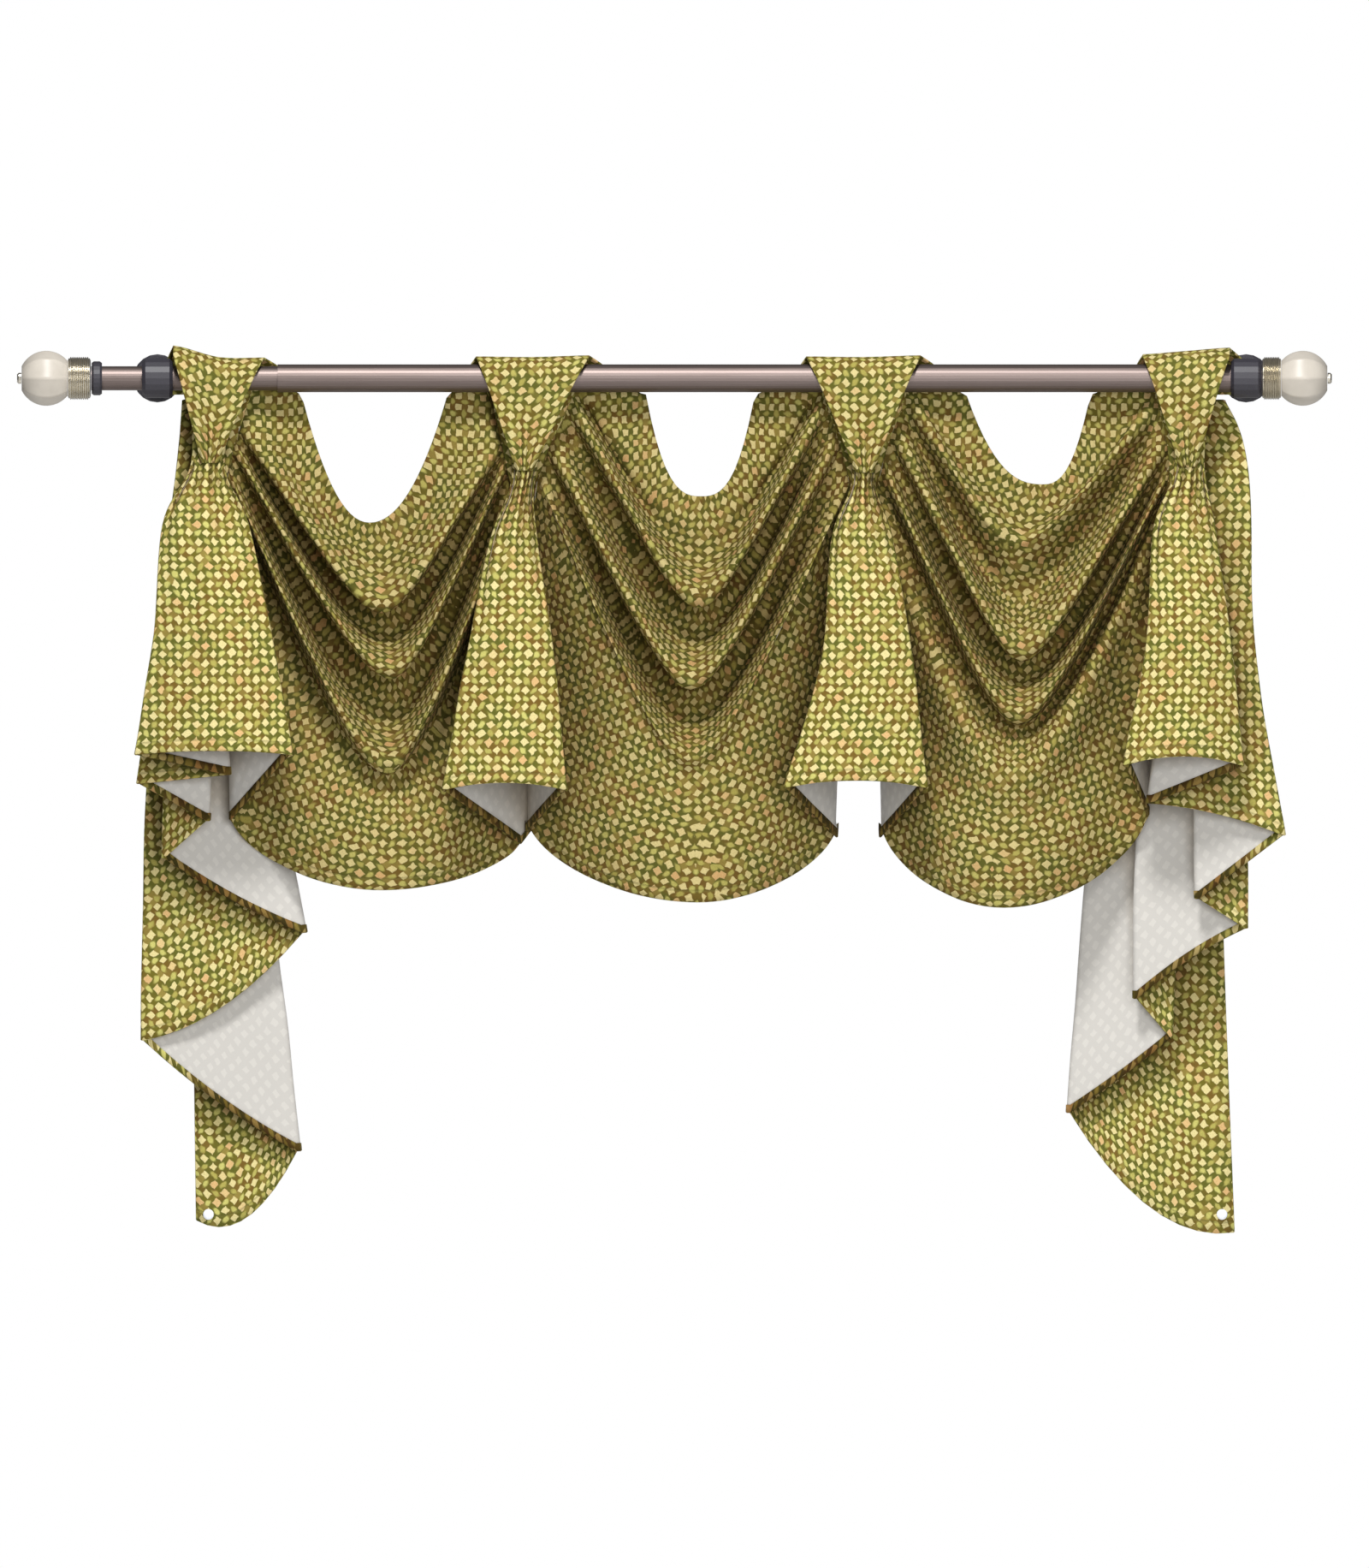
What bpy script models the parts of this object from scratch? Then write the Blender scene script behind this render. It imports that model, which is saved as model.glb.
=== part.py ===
"""Window swag: one piece of lined cloth that makes three swags, four horns and two zigzag tails,
held on a telescoping rod by four tabs. Sizes in the tables are millimetres: X runs along the rod,
Y points at the wall (y = 0) and Z is up, with z = 0 at the height of the rod's axis."""

import math

import bmesh
import bpy
from mathutils import Vector

MM = 0.001

# Sheets
CLOTH_THICKNESS = 1.0
LINING_THICKNESS = 1.0
SHEET_GAP = 0.3
TAB_THICKNESS = 2.0

# Rod and what it carries
ROD_Y = -80.0
WIDE_RADIUS = 12.7
WIDE_BORE = 11.4
NARROW_RADIUS = 11.0
WIDE_FROM = -371.0
WIDE_TO = 526.2
NARROW_FROM = -541.0
NARROW_TO = -250.0
SEAT_GAP = 0.3
CUP_RADIUS = 18.0
CUP_LENGTH = 28.0
CUP_X = {"bracket_left": -480.5, "bracket_right": 512.0}
CUP_BORE = {"bracket_left": NARROW_RADIUS + SEAT_GAP, "bracket_right": WIDE_RADIUS + SEAT_GAP}
ARM_RADIUS = 8.0
PLATE_RADIUS = 22.0
PLATE_THICKNESS = 5.0
CUP_EDGE = 3.0
PLATE_EDGE = 1.5
ARM_FROM_BORE = 2.0
TUBE_STEPS = 32
CUP_STEPS = 20

# Finials: a ring, then on each side a neck that runs outwards from its start, a ball and an end cap
FINIAL_BORE = NARROW_RADIUS + SEAT_GAP
RING_PROFILE = (
    (-540.5, FINIAL_BORE), (-540.5, 14.0), (-538.5, 15.5),
    (-533.0, 15.5), (-531.0, 14.0), (-531.0, FINIAL_BORE),
)
NECK_COLUMNS = ("side", "outward", "start", "length")
NECKS = (("left", -1, -541.3, 21.0), ("right", 1, 526.5, 17.5))
NECK_RADIUS = 19.5
NECK_END_RADIUS = 17.0
NECK_EDGE = 2.0
NECK_STEPS = 24
BALL_RADIUS = 25.0
BALL_NECK_FLAT = 16.0
BALL_CAP_FLAT = 11.0
BALL_FACETS = 8
BALL_FACET = 0.035
BALL_ROWS = 8
BALL_STEPS = 24
CAP_RADIUS = 5.0
CAP_END_RADIUS = 3.6
CAP_LENGTH = 3.9
CAP_EDGE = 1.5
CAP_STEPS = 16

# Cloth behind the rod, seen from the front, and the tab that goes round both
BEHIND_ROD = -64.8
ROD_REACH = 17.0
FORWARD_SLOPE = 1.1

# Each row of a swag, from its top edge to its hem. left and right are the heights at which the row
# leaves the gathers, low_x and low its lowest point, front its depth there, round how wide its bend
# is (0 is a V), belly how far it swells beside the horns.
SWAG_COLUMNS = ("row", "left", "right", "low_x", "low", "front", "round", "belly")
SWAGS = {
    "swag_1": (
        ("edge", 7, 8, -287, -132, -66, 0.5, 0.0),
        ("band", -8, -14, -280, -160, -70, 0.40, 0.0),
        ("crown_1", -36, -50, -276, -198, -98, 0.30, 0.0),
        ("nose_1", -46, -62, -276, -214, -96, 0.22, 0.0),
        ("tuck_1", -50, -66, -274, -212, -76, 0.24, 0.0),
        ("valley_2", -54, -70, -272, -236, -74, 0.30, 0.0),
        ("crown_2", -60, -77, -268, -259, -108, 0.30, 0.0),
        ("nose_2", -66, -83, -267, -274, -103, 0.24, 0.0),
        ("tuck_2", -70, -88, -268, -271, -82, 0.26, 0.0),
        ("valley_3", -75, -96, -269, -310, -78, 0.30, 0.0),
        ("crown_3", -84, -112, -270, -344, -114, 0.28, 0.0),
        ("nose_3", -92, -124, -270, -360, -108, 0.24, 0.0),
        ("tuck_3", -104, -140, -270, -362, -90, 0.28, 0.05),
        ("apron_1", -180, -215, -272, -400, -98, 0.45, 0.2),
        ("apron_2", -300, -325, -274, -437, -102, 0.60, 0.3),
        ("hem", -402, -424, -276, -466, -98, 0.70, 0.35),
    ),
    "swag_2": (
        ("edge", 8, 8, 15, -108, -66, 0.5, 0.0),
        ("band", -4, -4, 15, -138, -70, 0.40, 0.0),
        ("valley_1", -10, -10, 14, -166, -76, 0.35, 0.0),
        ("crown_1", -17, -19, 14, -192, -104, 0.28, 0.0),
        ("nose_1", -25, -27, 13, -209, -100, 0.22, 0.0),
        ("tuck_1", -31, -33, 13, -206, -78, 0.24, 0.0),
        ("valley_2", -40, -40, 10, -236, -76, 0.28, 0.0),
        ("crown_2", -56, -50, 7, -266, -110, 0.26, 0.0),
        ("nose_2", -65, -58, 6, -284, -106, 0.22, 0.0),
        ("tuck_2", -70, -64, 6, -281, -84, 0.24, 0.0),
        ("valley_3", -77, -74, 5, -310, -80, 0.28, 0.0),
        ("crown_3", -90, -94, 5, -342, -116, 0.28, 0.0),
        ("nose_3", -100, -106, 5, -360, -110, 0.26, 0.0),
        ("apron_1", -180, -180, 8, -400, -106, 0.42, 0.2),
        ("apron_2", -300, -300, 10, -442, -108, 0.58, 0.3),
        ("hem", -406, -412, 12, -477, -104, 0.70, 0.35),
    ),
    "swag_3": (
        ("edge", 8, 7, 327, -97, -66, 0.5, 0.0),
        ("band", -2, -6, 318, -124, -72, 0.40, 0.0),
        ("crown_1", -10, -18, 304, -146, -90, 0.30, 0.0),
        ("nose_1", -18, -27, 302, -160, -86, 0.24, 0.0),
        ("valley_2", -28, -36, 302, -200, -74, 0.26, 0.0),
        ("crown_2", -42, -52, 306, -238, -108, 0.24, 0.0),
        ("nose_2", -52, -62, 307, -257, -104, 0.18, 0.0),
        ("tuck_2", -58, -68, 307, -254, -82, 0.22, 0.0),
        ("valley_3", -66, -74, 306, -276, -82, 0.26, 0.0),
        ("crown_3", -76, -82, 305, -300, -110, 0.26, 0.0),
        ("nose_3", -84, -90, 304, -314, -106, 0.22, 0.0),
        ("tuck_3", -96, -100, 303, -320, -86, 0.26, 0.0),
        ("crown_4", -124, -124, 300, -358, -110, 0.30, 0.05),
        ("apron_1", -200, -210, 297, -402, -100, 0.42, 0.2),
        ("apron_2", -310, -300, 293, -446, -104, 0.56, 0.3),
        ("hem", -412, -398, 291, -482, -100, 0.66, 0.35),
    ),
}
# Places across half a swag, from its middle (0) to its gather (1)
HALF_SWAG_STEPS = (0.0, 0.15, 0.31, 0.47, 0.64, 0.82, 1.0)
# A row's depth falls from its middle to its gather with this power, at the rod and at the hem
DEPTH_POWERS = (2.0, 3.0)
HEM_DEPTH = 480.0
# The opening under the rod: its width on each side of its lowest point, how square its sides are
# (power), and how high the cloth stands beside it (peak)
SCALLOP_COLUMNS = ("left_width", "right_width", "power", "peak")
SCALLOPS = {
    "swag_1": (62.0, 71.0, 2.1, 15.0),
    "swag_2": (50.0, 49.0, 2.8, 16.0),
    "swag_3": (70.0, 43.0, 2.5, 15.0),
}
SHOULDER_Z = -15.0
PEAK_REACHED = 1.3
END_POWER = 3
SWAG_SIDES = {
    "swag_1": (("horn_1", "fold_right"), ("horn_2", "fold_left")),
    "swag_2": (("horn_2", "fold_right"), ("horn_3", "fold_left")),
    "swag_3": (("horn_3", "fold_right"), ("horn_4", "fold_left")),
}

# Each level of a horn. fold_z, fold_left and fold_right place the deep folds between the horn and
# the swags, swag_y the cloth that comes from the swags and panel_y the horn's inner panels; edge_z,
# front_z, left and right place the horn's own edges and middle, edge_y and front_y their depth.
HORN_COLUMNS = (
    "fold_z", "fold_left", "fold_right", "swag_y", "panel_y",
    "edge_z", "front_z", "left", "right", "edge_y", "front_y",
)
HORNS = {
    "horn_1": (
        (6, -458, -390, -64.8, -64.8, 6, 6, -452, -398, -64.8, -64.8),
        (-76, -446, -414, -76, -78, -76, -76, -450, -419, -84, -90),
        (-140, -446, -420, -74, -80, -134, -131, -476, -397, -104, -112),
        (-246, -430, -416, -74, -81, -236, -232, -484, -376, -120, -136),
        (-402, -416, -413, -72, -80, -343, -339, -502, -357, -130, -150),
    ),
    "horn_2": (
        (8, -182, -94, -64.8, -64.8, 8, 8, -172, -104, -64.8, -64.8),
        (-83, -162, -130, -72, -75, -83, -83, -157, -135, -82, -90),
        (-150, -153, -143, -54, -62, -148, -146, -177, -134, -100, -110),
        (-262, -151, -143, -44, -52, -255, -252, -199, -119, -118, -131),
        (-424, -150, -143, -38, -46, -376, -368, -221, -107, -128, -147),
    ),
    "horn_3": (
        (8, 119, 208, -64.8, -64.8, 8, 8, 129, 198, -64.8, -64.8),
        (-85, 148, 179, -72, -75, -85, -85, 153, 174, -82, -90),
        (-150, 150, 172, -54, -62, -146, -143, 134, 190, -100, -110),
        (-262, 142, 176, -44, -52, -253, -250, 126, 207, -118, -131),
        (-418, 138, 180, -38, -46, -374, -366, 90, 222, -128, -147),
    ),
    "horn_4": (
        (6, 425, 488, -64.8, -64.8, 6, 6, 433, 480, -64.8, -64.8),
        (-80, 442, 466, -76, -78, -80, -80, 447, 474, -84, -90),
        (-146, 428, 458, -74, -80, -138, -134, 428, 484, -104, -112),
        (-250, 424, 444, -74, -81, -240, -236, 421, 498, -120, -136),
        (-398, 422, 424, -72, -80, -354, -344, 400, 510, -130, -150),
    ),
}
# Rows down a horn: 0 is its top edge, 1 the gather, 4 its hem
HORN_ROWS = (0.0, 0.4, 1.0, 1.6, 2.3, 3.0, 3.5, 4.0)
HORN_STATIONS = (
    "fold_left", "panel_left", "back_left", "edge_left", "front_left", "front",
    "front_right", "edge_right", "back_right", "panel_right", "fold_right",
)
# Between a horn's edge and its middle: shares of the way in depth and height
SHOULDER_DEPTH = 0.55
SHOULDER_HEIGHT = 0.8
EDGE_HEIGHT = 0.2
EDGE_INSET = 0.4
TAIL_SIDE = {"horn_1": "left", "horn_4": "right"}

# The folds of a tail, from the horn's edge back to its end corner. mid_x is halfway down from the
# gather, and sag is how far the hem hangs under a straight line from the fold before.
FOLD_COLUMNS = ("top_x", "gather_x", "mid_x", "hem_x", "hem_z", "hem_y", "sag")
TAILS = {
    "tail_left": (
        (-404, -432, -424, -415, -361, -112, 0),
        (-459, -463, -482, -500, -369, -99, 0),
        (-404, -430, -430, -434, -403, -86, 0),
        (-459, -462, -472, -477, -437, -73, 0),
        (-400, -424, -388, -346, -505, -58, 5),
        (-459, -463, -489, -496, -603, -44, 18),
        (-400, -420, -386, -351, -704, -30, 7),
        (-457, -458, -450, -445, -767, -17, 29),
    ),
    "tail_right": (
        (432, 452, 440, 423, -387, -112, 0),
        (494, 515, 521, 548, -416, -99, -5),
        (432, 458, 462, 467, -474, -86, 0),
        (494, 508, 512, 514, -501, -73, 0),
        (428, 436, 416, 410, -565, -58, -5),
        (488, 484, 456, 446, -601, -44, 0),
        (424, 400, 374, 349, -669, -30, 2),
        (490, 488, 489, 501, -778, -17, 33),
    ),
}
# Rows down a tail: 0 is its top edge, 1 the gather, 3 its hem
TAIL_ROWS = (0.0, 0.4, 1.0, 1.4, 1.8, 2.2, 2.6, 3.0)
TAIL_TOP_Z = -20.0
TAIL_TOP_DEPTHS = (-58.0, -20.0)
TAIL_GATHER_DEPTHS = (-76.0, -19.0)
MID_DEPTH = 0.6
# Half of the depth of each fold's turn, and the share of it at the fold's top, gather, middle and hem
FOLD_HALF_TURN = 4.0
TURN_SHARES = (0.5, 0.7, 1.0, 1.0)
# Where each panel, counted from the horn, has columns of its own between its two folds
PANEL_SHARES = {1: (0.5,), 4: (0.5,), 5: (0.33, 0.67), 6: (0.5,), 7: (0.25, 0.5, 0.8)}

# Tabs: edges at the rod, the pinch, and how much higher the outer end of an end tab stands
TAB_COLUMNS = ("node", "left", "right", "pinch_x", "pinch_z", "left_lift", "mid_lift", "right_lift")
TABS = (
    ("tab_1", -466.0, -383.0, -433.0, -77.0, 10.0, -0.5, -1.0),
    ("tab_2", -190.0, -87.0, -146.0, -84.0, 0.0, -0.5, 1.0),
    ("tab_3", 111.0, 215.0, 164.0, -86.0, 0.0, -0.5, 1.0),
    ("tab_4", 418.0, 497.0, 459.0, -81.0, 2.0, 5.0, 8.0),
)
TAB_RADIUS = 20.0
TAB_AXIS_Y = -76.7
TAB_BACK_Z = -15.0
TAB_FRONT_Y = -96.5
TAB_PINCH_HALF = 8.0
TAB_PLEATS = 3
TAB_PLEAT_DEPTH = 2.2
TAB_PLEAT_POWER = 1.5
# Places along a tab's path, 0 behind the rod and 1 at the pinch: it lies on the rod between these two
TAB_OVER_FROM = 0.22
TAB_OVER_TO = 0.5
TAB_PATH_STEPS = (0.0, 0.22, 0.276, 0.332, 0.388, 0.444, 0.5, 0.65, 0.82, 1.0)
TAB_ACROSS_STEPS = 9

# Pins: each lies on the end panel of its tail, at this x and z
PIN_HEAD_RADIUS = 5.0
PIN_HEAD_DEPTH = 3.0
PIN_GAP = 0.4
PINS = (("pin_left", "tail_left", -434.0, -762.0), ("pin_right", "tail_right", 490.0, -762.0))


def remove_everything():
    for obj in list(bpy.data.objects):
        bpy.data.objects.remove(obj, do_unlink=True)


def plain_material(name, colour, roughness, metallic=0.0):
    material = bpy.data.materials.new(name)
    material.use_nodes = True
    shader = material.node_tree.nodes["Principled BSDF"]
    shader.inputs["Base Color"].default_value = (*colour, 1.0)
    shader.inputs["Roughness"].default_value = roughness
    shader.inputs["Metallic"].default_value = metallic
    return material


def add_object(name, build, material, location=(0.0, 0.0, 0.0)):
    """Makes an object of a bmesh whose points are in metres."""
    mesh = bpy.data.meshes.new(name)
    build.to_mesh(mesh)
    build.free()
    mesh.materials.append(material)
    mesh.shade_smooth()
    mesh.set_sharp_from_angle(angle=math.radians(40))
    obj = bpy.data.objects.new(name, mesh)
    obj.location = location
    bpy.context.collection.objects.link(obj)
    return obj


def mix(a, b, share):
    return a + (b - a) * share


def smooth(share):
    share = min(max(share, 0.0), 1.0)
    return share * share * (3.0 - 2.0 * share)


def along(values, place):
    """The value at a place between 0 and the last index, on a smooth curve through the values."""
    last = len(values) - 1
    start = min(max(int(math.floor(place)), 0), last - 1)
    t = place - start
    before = values[max(start - 1, 0)]
    first = values[start]
    second = values[start + 1]
    after = values[min(start + 2, last)]
    slope_in = (second - before) * 0.5
    slope_out = (after - first) * 0.5
    return (
        first * (2 * t**3 - 3 * t**2 + 1)
        + slope_in * (t**3 - 2 * t**2 + t)
        + second * (3 * t**2 - 2 * t**3)
        + slope_out * (t**3 - t**2)
    )


def horn_level(horn, column, row):
    """One column of a horn's table at a row between its levels."""
    index = HORN_COLUMNS.index(column)
    return along([level[index] for level in HORNS[horn]], row)


def fold_beside(horn, side, z):
    """The point at height z of the swag's end, where it meets the horn's fold."""
    levels = HORNS[horn]
    index = HORN_COLUMNS.index(side)
    row = 0.0
    for upper, lower in zip(levels, levels[1:]):
        row += min(max((upper[0] - z) / (upper[0] - lower[0]), 0.0), 1.0)
    return Vector((along([level[index] for level in levels], row), horn_level(horn, "swag_y", row), z))


def keep_behind_rod(point):
    """Cloth at the rod's height stays behind it, and may come forward as it hangs below it."""
    below = -ROD_REACH - point.z
    limit = BEHIND_ROD - FORWARD_SLOPE * max(below, 0.0)
    if point.y < limit:
        point.y = limit
    return point


def swag_row_point(swag, row, half, side, sideways):
    """A point of one row: sideways is 0 at the swag's middle and 1 at the gather on that side."""
    values = dict(zip(SWAG_COLUMNS, row))
    end_z = values["left"] if side < 0 else values["right"]
    end = fold_beside(half[0], half[1], end_z)
    reach = sideways * (1.0 + values["belly"]) - values["belly"] * sideways**3
    x = mix(values["low_x"], end.x, reach)
    if values["row"] == "edge":
        scallop = dict(zip(SCALLOP_COLUMNS, SCALLOPS[swag]))
        width = scallop["left_width"] if side < 0 else scallop["right_width"]
        beside = abs(x - values["low_x"])
        if beside < width:
            z = mix(values["low"], SHOULDER_Z, (beside / width) ** scallop["power"])
        else:
            rest = (beside - width) / (abs(end.x - values["low_x"]) - width)
            raised = mix(SHOULDER_Z, scallop["peak"], smooth(rest * PEAK_REACHED))
            z = mix(raised, end_z, smooth(rest) ** END_POWER)
        y = mix(values["front"], BEHIND_ROD, smooth(beside / width))
        return keep_behind_rod(Vector((x, y, z)))
    bend = values["round"]
    rise = (math.hypot(sideways, bend) - bend) / (math.hypot(1.0, bend) - bend)
    back = reach ** mix(*DEPTH_POWERS, smooth(-values["low"] / HEM_DEPTH))
    point = Vector((x, mix(values["front"], end.y, back), mix(values["low"], end_z, rise)))
    return keep_behind_rod(point)


def swag_grid(swag):
    """Rows of points across a swag, from its left gather to its right one."""
    rows = []
    for row in SWAGS[swag]:
        left = [swag_row_point(swag, row, SWAG_SIDES[swag][0], -1, s) for s in reversed(HALF_SWAG_STEPS)]
        right = [swag_row_point(swag, row, SWAG_SIDES[swag][1], 1, s) for s in HALF_SWAG_STEPS[1:]]
        rows.append(left + right)
    return rows


def horn_point(horn, station, row):
    """A point of a horn: stations run from the left fold round the front to the right fold."""
    value = {name: horn_level(horn, name, row) for name in HORN_COLUMNS}
    below_top = min(row, 1.0)
    turn = FOLD_HALF_TURN * below_top
    flat = FOLD_HALF_TURN - turn
    edge_y, front_y = value["edge_y"], value["front_y"]
    edge_z, front_z = value["edge_z"], value["front_z"]
    middle = Vector((mix(value["left"], value["right"], 0.5), front_y - 0.5 * turn, front_z))
    if station == "front":
        return keep_behind_rod(middle)
    place, side = station.split("_")
    outward = -1.0 if side == "left" else 1.0
    edge_x = value[side]
    joins_tail = TAIL_SIDE.get(horn) == side
    fold = Vector((value["fold_" + side], value["panel_y"], value["fold_z"]))
    back = Vector((edge_x + outward * 0.5 * flat, edge_y + turn, edge_z))
    if joins_tail:
        back.y = edge_y + FOLD_HALF_TURN
        back.z = mix(TAIL_TOP_Z, edge_z, below_top)
    edge_in = outward * (EDGE_INSET * turn + flat)
    shoulder_y = mix(edge_y, front_y, SHOULDER_DEPTH) - turn
    points = {
        "fold": fold,
        "panel": mix(fold, back, 0.5),
        "back": back,
        "edge": Vector((edge_x - edge_in, edge_y - turn, mix(edge_z, front_z, EDGE_HEIGHT))),
        "front": Vector((mix(edge_x, middle.x, 0.5), shoulder_y, mix(edge_z, front_z, SHOULDER_HEIGHT))),
    }
    return points[place] if place == "back" and joins_tail else keep_behind_rod(points[place])


def horn_columns(horn, stations):
    return [[horn_point(horn, station, row) for row in HORN_ROWS] for station in stations]


def fold_path(tail, number, depth_shift):
    """The line of one fold of a tail, from its top to its hem."""
    fold = dict(zip(FOLD_COLUMNS, TAILS[tail][number]))
    share = (number + 1) / len(TAILS[tail])
    gather_z = HORNS["horn_1" if tail == "tail_left" else "horn_4"][1][0]
    mid_z = mix(gather_z, fold["hem_z"], 0.5)
    top_y = mix(*TAIL_TOP_DEPTHS, share)
    gather_y = mix(*TAIL_GATHER_DEPTHS, share)
    levels = [
        Vector((fold["top_x"], top_y, TAIL_TOP_Z)),
        Vector((fold["gather_x"], gather_y, gather_z)),
        Vector((fold["mid_x"], mix(gather_y, fold["hem_y"], MID_DEPTH), mid_z)),
        Vector((fold["hem_x"], fold["hem_y"], fold["hem_z"])),
    ]
    for level, turn_share in zip(levels, TURN_SHARES):
        level.y += turn_share * depth_shift
    return [along(levels, row) for row in TAIL_ROWS]


def tail_columns(tail):
    """Two columns at each fold of a tail, and those between that its longer panels need."""
    columns = []
    last = len(TAILS[tail]) - 1
    before = None
    for number, fold in enumerate(TAILS[tail]):
        front = fold_path(tail, number, -FOLD_HALF_TURN if number < last else 0.0)
        for share in PANEL_SHARES.get(number, ()):
            sag = 4.0 * share * (1.0 - share) * fold[FOLD_COLUMNS.index("sag")]
            column = [mix(a, b, share) for a, b in zip(before, front)]
            for row, point in zip(TAIL_ROWS, column):
                point.z -= sag * (row / TAIL_ROWS[-1]) ** 3
            columns.append(column)
        columns.append(front)
        if number < last:
            before = fold_path(tail, number, FOLD_HALF_TURN)
            columns.append(before)
    return columns


class Sheet:
    """A surface made of columns of points, joined side by side."""

    def __init__(self):
        self.build = bmesh.new()

    def add_column(self, points):
        return [self.build.verts.new(point * MM) for point in points]

    def join(self, left, right):
        """Fills between two columns, top to bottom, that need not have as many points."""
        i = j = 0
        while i < len(left) - 1 or j < len(right) - 1:
            both = len(left) == len(right)
            if both:
                self.build.faces.new((left[i], left[i + 1], right[j + 1], right[j]))
                i += 1
                j += 1
                continue
            step_left = j == len(right) - 1 or (
                i < len(left) - 1
                and (left[i + 1].co - right[j].co).length <= (left[i].co - right[j + 1].co).length
            )
            if step_left:
                self.build.faces.new((left[i], left[i + 1], right[j]))
                i += 1
            else:
                self.build.faces.new((left[i], right[j + 1], right[j]))
                j += 1

    def add_columns(self, columns, after=None):
        for points in columns:
            column = self.add_column(points)
            if after is not None:
                self.join(after, column)
            after = column
        return after


def cloth_surface():
    """The whole cloth's front surface, from the left tail's end to the right tail's end."""
    sheet = Sheet()
    left_horn = ("back_left", "edge_left", "front_left", "front", "front_right", "edge_right",
                 "back_right", "panel_right", "fold_right")
    right_horn = ("fold_left", "panel_left", "back_left", "edge_left", "front_left", "front",
                  "front_right", "edge_right", "back_right")
    after = sheet.add_columns(list(reversed(tail_columns("tail_left"))))
    after = sheet.add_columns(horn_columns("horn_1", left_horn), after)
    for swag, horn, stations in (
        ("swag_1", "horn_2", HORN_STATIONS),
        ("swag_2", "horn_3", HORN_STATIONS),
        ("swag_3", "horn_4", right_horn),
    ):
        rows = swag_grid(swag)
        after = sheet.add_columns([list(column) for column in zip(*rows)], after)
        after = sheet.add_columns(horn_columns(horn, stations), after)
    sheet.add_columns(tail_columns("tail_right"), after)
    bmesh.ops.triangulate(sheet.build, faces=sheet.build.faces)
    return sheet.build


def thicken(obj, thickness):
    solidify = obj.modifiers.new("thickness", "SOLIDIFY")
    solidify.thickness = thickness * MM
    solidify.offset = -1.0
    solidify.use_even_offset = False


def make_cloth(materials):
    face = add_object("face_cloth", cloth_surface(), materials["print"])
    thicken(face, CLOTH_THICKNESS)
    lining = add_object("lining", cloth_surface(), materials["lining"])
    inset = lining.modifiers.new("behind the face cloth", "DISPLACE")
    inset.direction = "NORMAL"
    inset.mid_level = 0.0
    inset.strength = -(CLOTH_THICKNESS + SHEET_GAP) * MM
    thicken(lining, LINING_THICKNESS)


def tab_point(tab, across, path):
    """A point of a tab's outer surface: path runs from behind the rod (0) over it to the pinch (1)."""
    lift = along((tab["left_lift"], tab["mid_lift"], tab["right_lift"]), 2.0 * across)
    x = mix(tab["left"], tab["right"], across)
    radius = TAB_RADIUS + lift
    if path < TAB_OVER_FROM:
        share = path / TAB_OVER_FROM
        return Vector((x, TAB_AXIS_Y + radius, mix(TAB_BACK_Z, 0.0, share)))
    if path < TAB_OVER_TO:
        angle = math.pi * (path - TAB_OVER_FROM) / (TAB_OVER_TO - TAB_OVER_FROM)
        return Vector((x, TAB_AXIS_Y + radius * math.cos(angle), radius * math.sin(angle)))
    share = (path - TAB_OVER_TO) / (1.0 - TAB_OVER_TO)
    narrow = mix(tab["pinch_x"] - TAB_PINCH_HALF, tab["pinch_x"] + TAB_PINCH_HALF, across)
    wave = math.cos(2 * math.pi * TAB_PLEATS * (across - 0.5)) * TAB_PLEAT_DEPTH * share**TAB_PLEAT_POWER
    y = mix(TAB_AXIS_Y - radius, TAB_FRONT_Y, smooth(share)) - wave
    return Vector((mix(x, narrow, share), y, mix(0.0, tab["pinch_z"], share)))


def make_tab(row, material):
    tab = dict(zip(TAB_COLUMNS, row))
    sheet = Sheet()
    sheet.add_columns(
        [tab_point(tab, step / TAB_ACROSS_STEPS, path) for path in TAB_PATH_STEPS]
        for step in range(TAB_ACROSS_STEPS + 1)
    )
    obj = add_object(tab["node"], sheet.build, material)
    thicken(obj, TAB_THICKNESS)


def turned(name, profile, centre, material, steps, hollow=False):
    """A solid turned about a line along X through a centre: profile rows are (x, radius)."""
    build = bmesh.new()
    rings = [ring_of(build, x, radius, steps) for x, radius in profile]
    bridge(build, rings, closed=hollow)
    return add_object(name, build, material, tuple(v * MM for v in centre))


def ring_of(build, x, radius, steps):
    angles = [2 * math.pi * step / steps for step in range(steps)]
    return [build.verts.new(Vector((x, radius * math.cos(a), radius * math.sin(a))) * MM) for a in angles]


def bridge(build, rings, closed):
    """Joins rings of points, and either closes the loop of rings or caps its two ends."""
    following_rings = rings[1:] + rings[:1] if closed else rings[1:]
    for ring, following in zip(rings, following_rings):
        for step in range(len(ring)):
            build.faces.new((ring[step], ring[step - 1], following[step - 1], following[step]))
    if not closed:
        build.faces.new(rings[0])
        build.faces.new(list(reversed(rings[-1])))
    bmesh.ops.recalc_face_normals(build, faces=build.faces)


def make_rod(materials):
    wide = ((WIDE_FROM, WIDE_BORE), (WIDE_FROM, WIDE_RADIUS), (WIDE_TO, WIDE_RADIUS), (WIDE_TO, WIDE_BORE))
    turned("rod_wide_tube", wide, (0, ROD_Y, 0), materials["rod"], TUBE_STEPS, hollow=True)
    narrow = ((NARROW_FROM, NARROW_RADIUS), (NARROW_TO, NARROW_RADIUS))
    turned("rod_narrow_tube", narrow, (0, ROD_Y, 0), materials["rod"], TUBE_STEPS)


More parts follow.
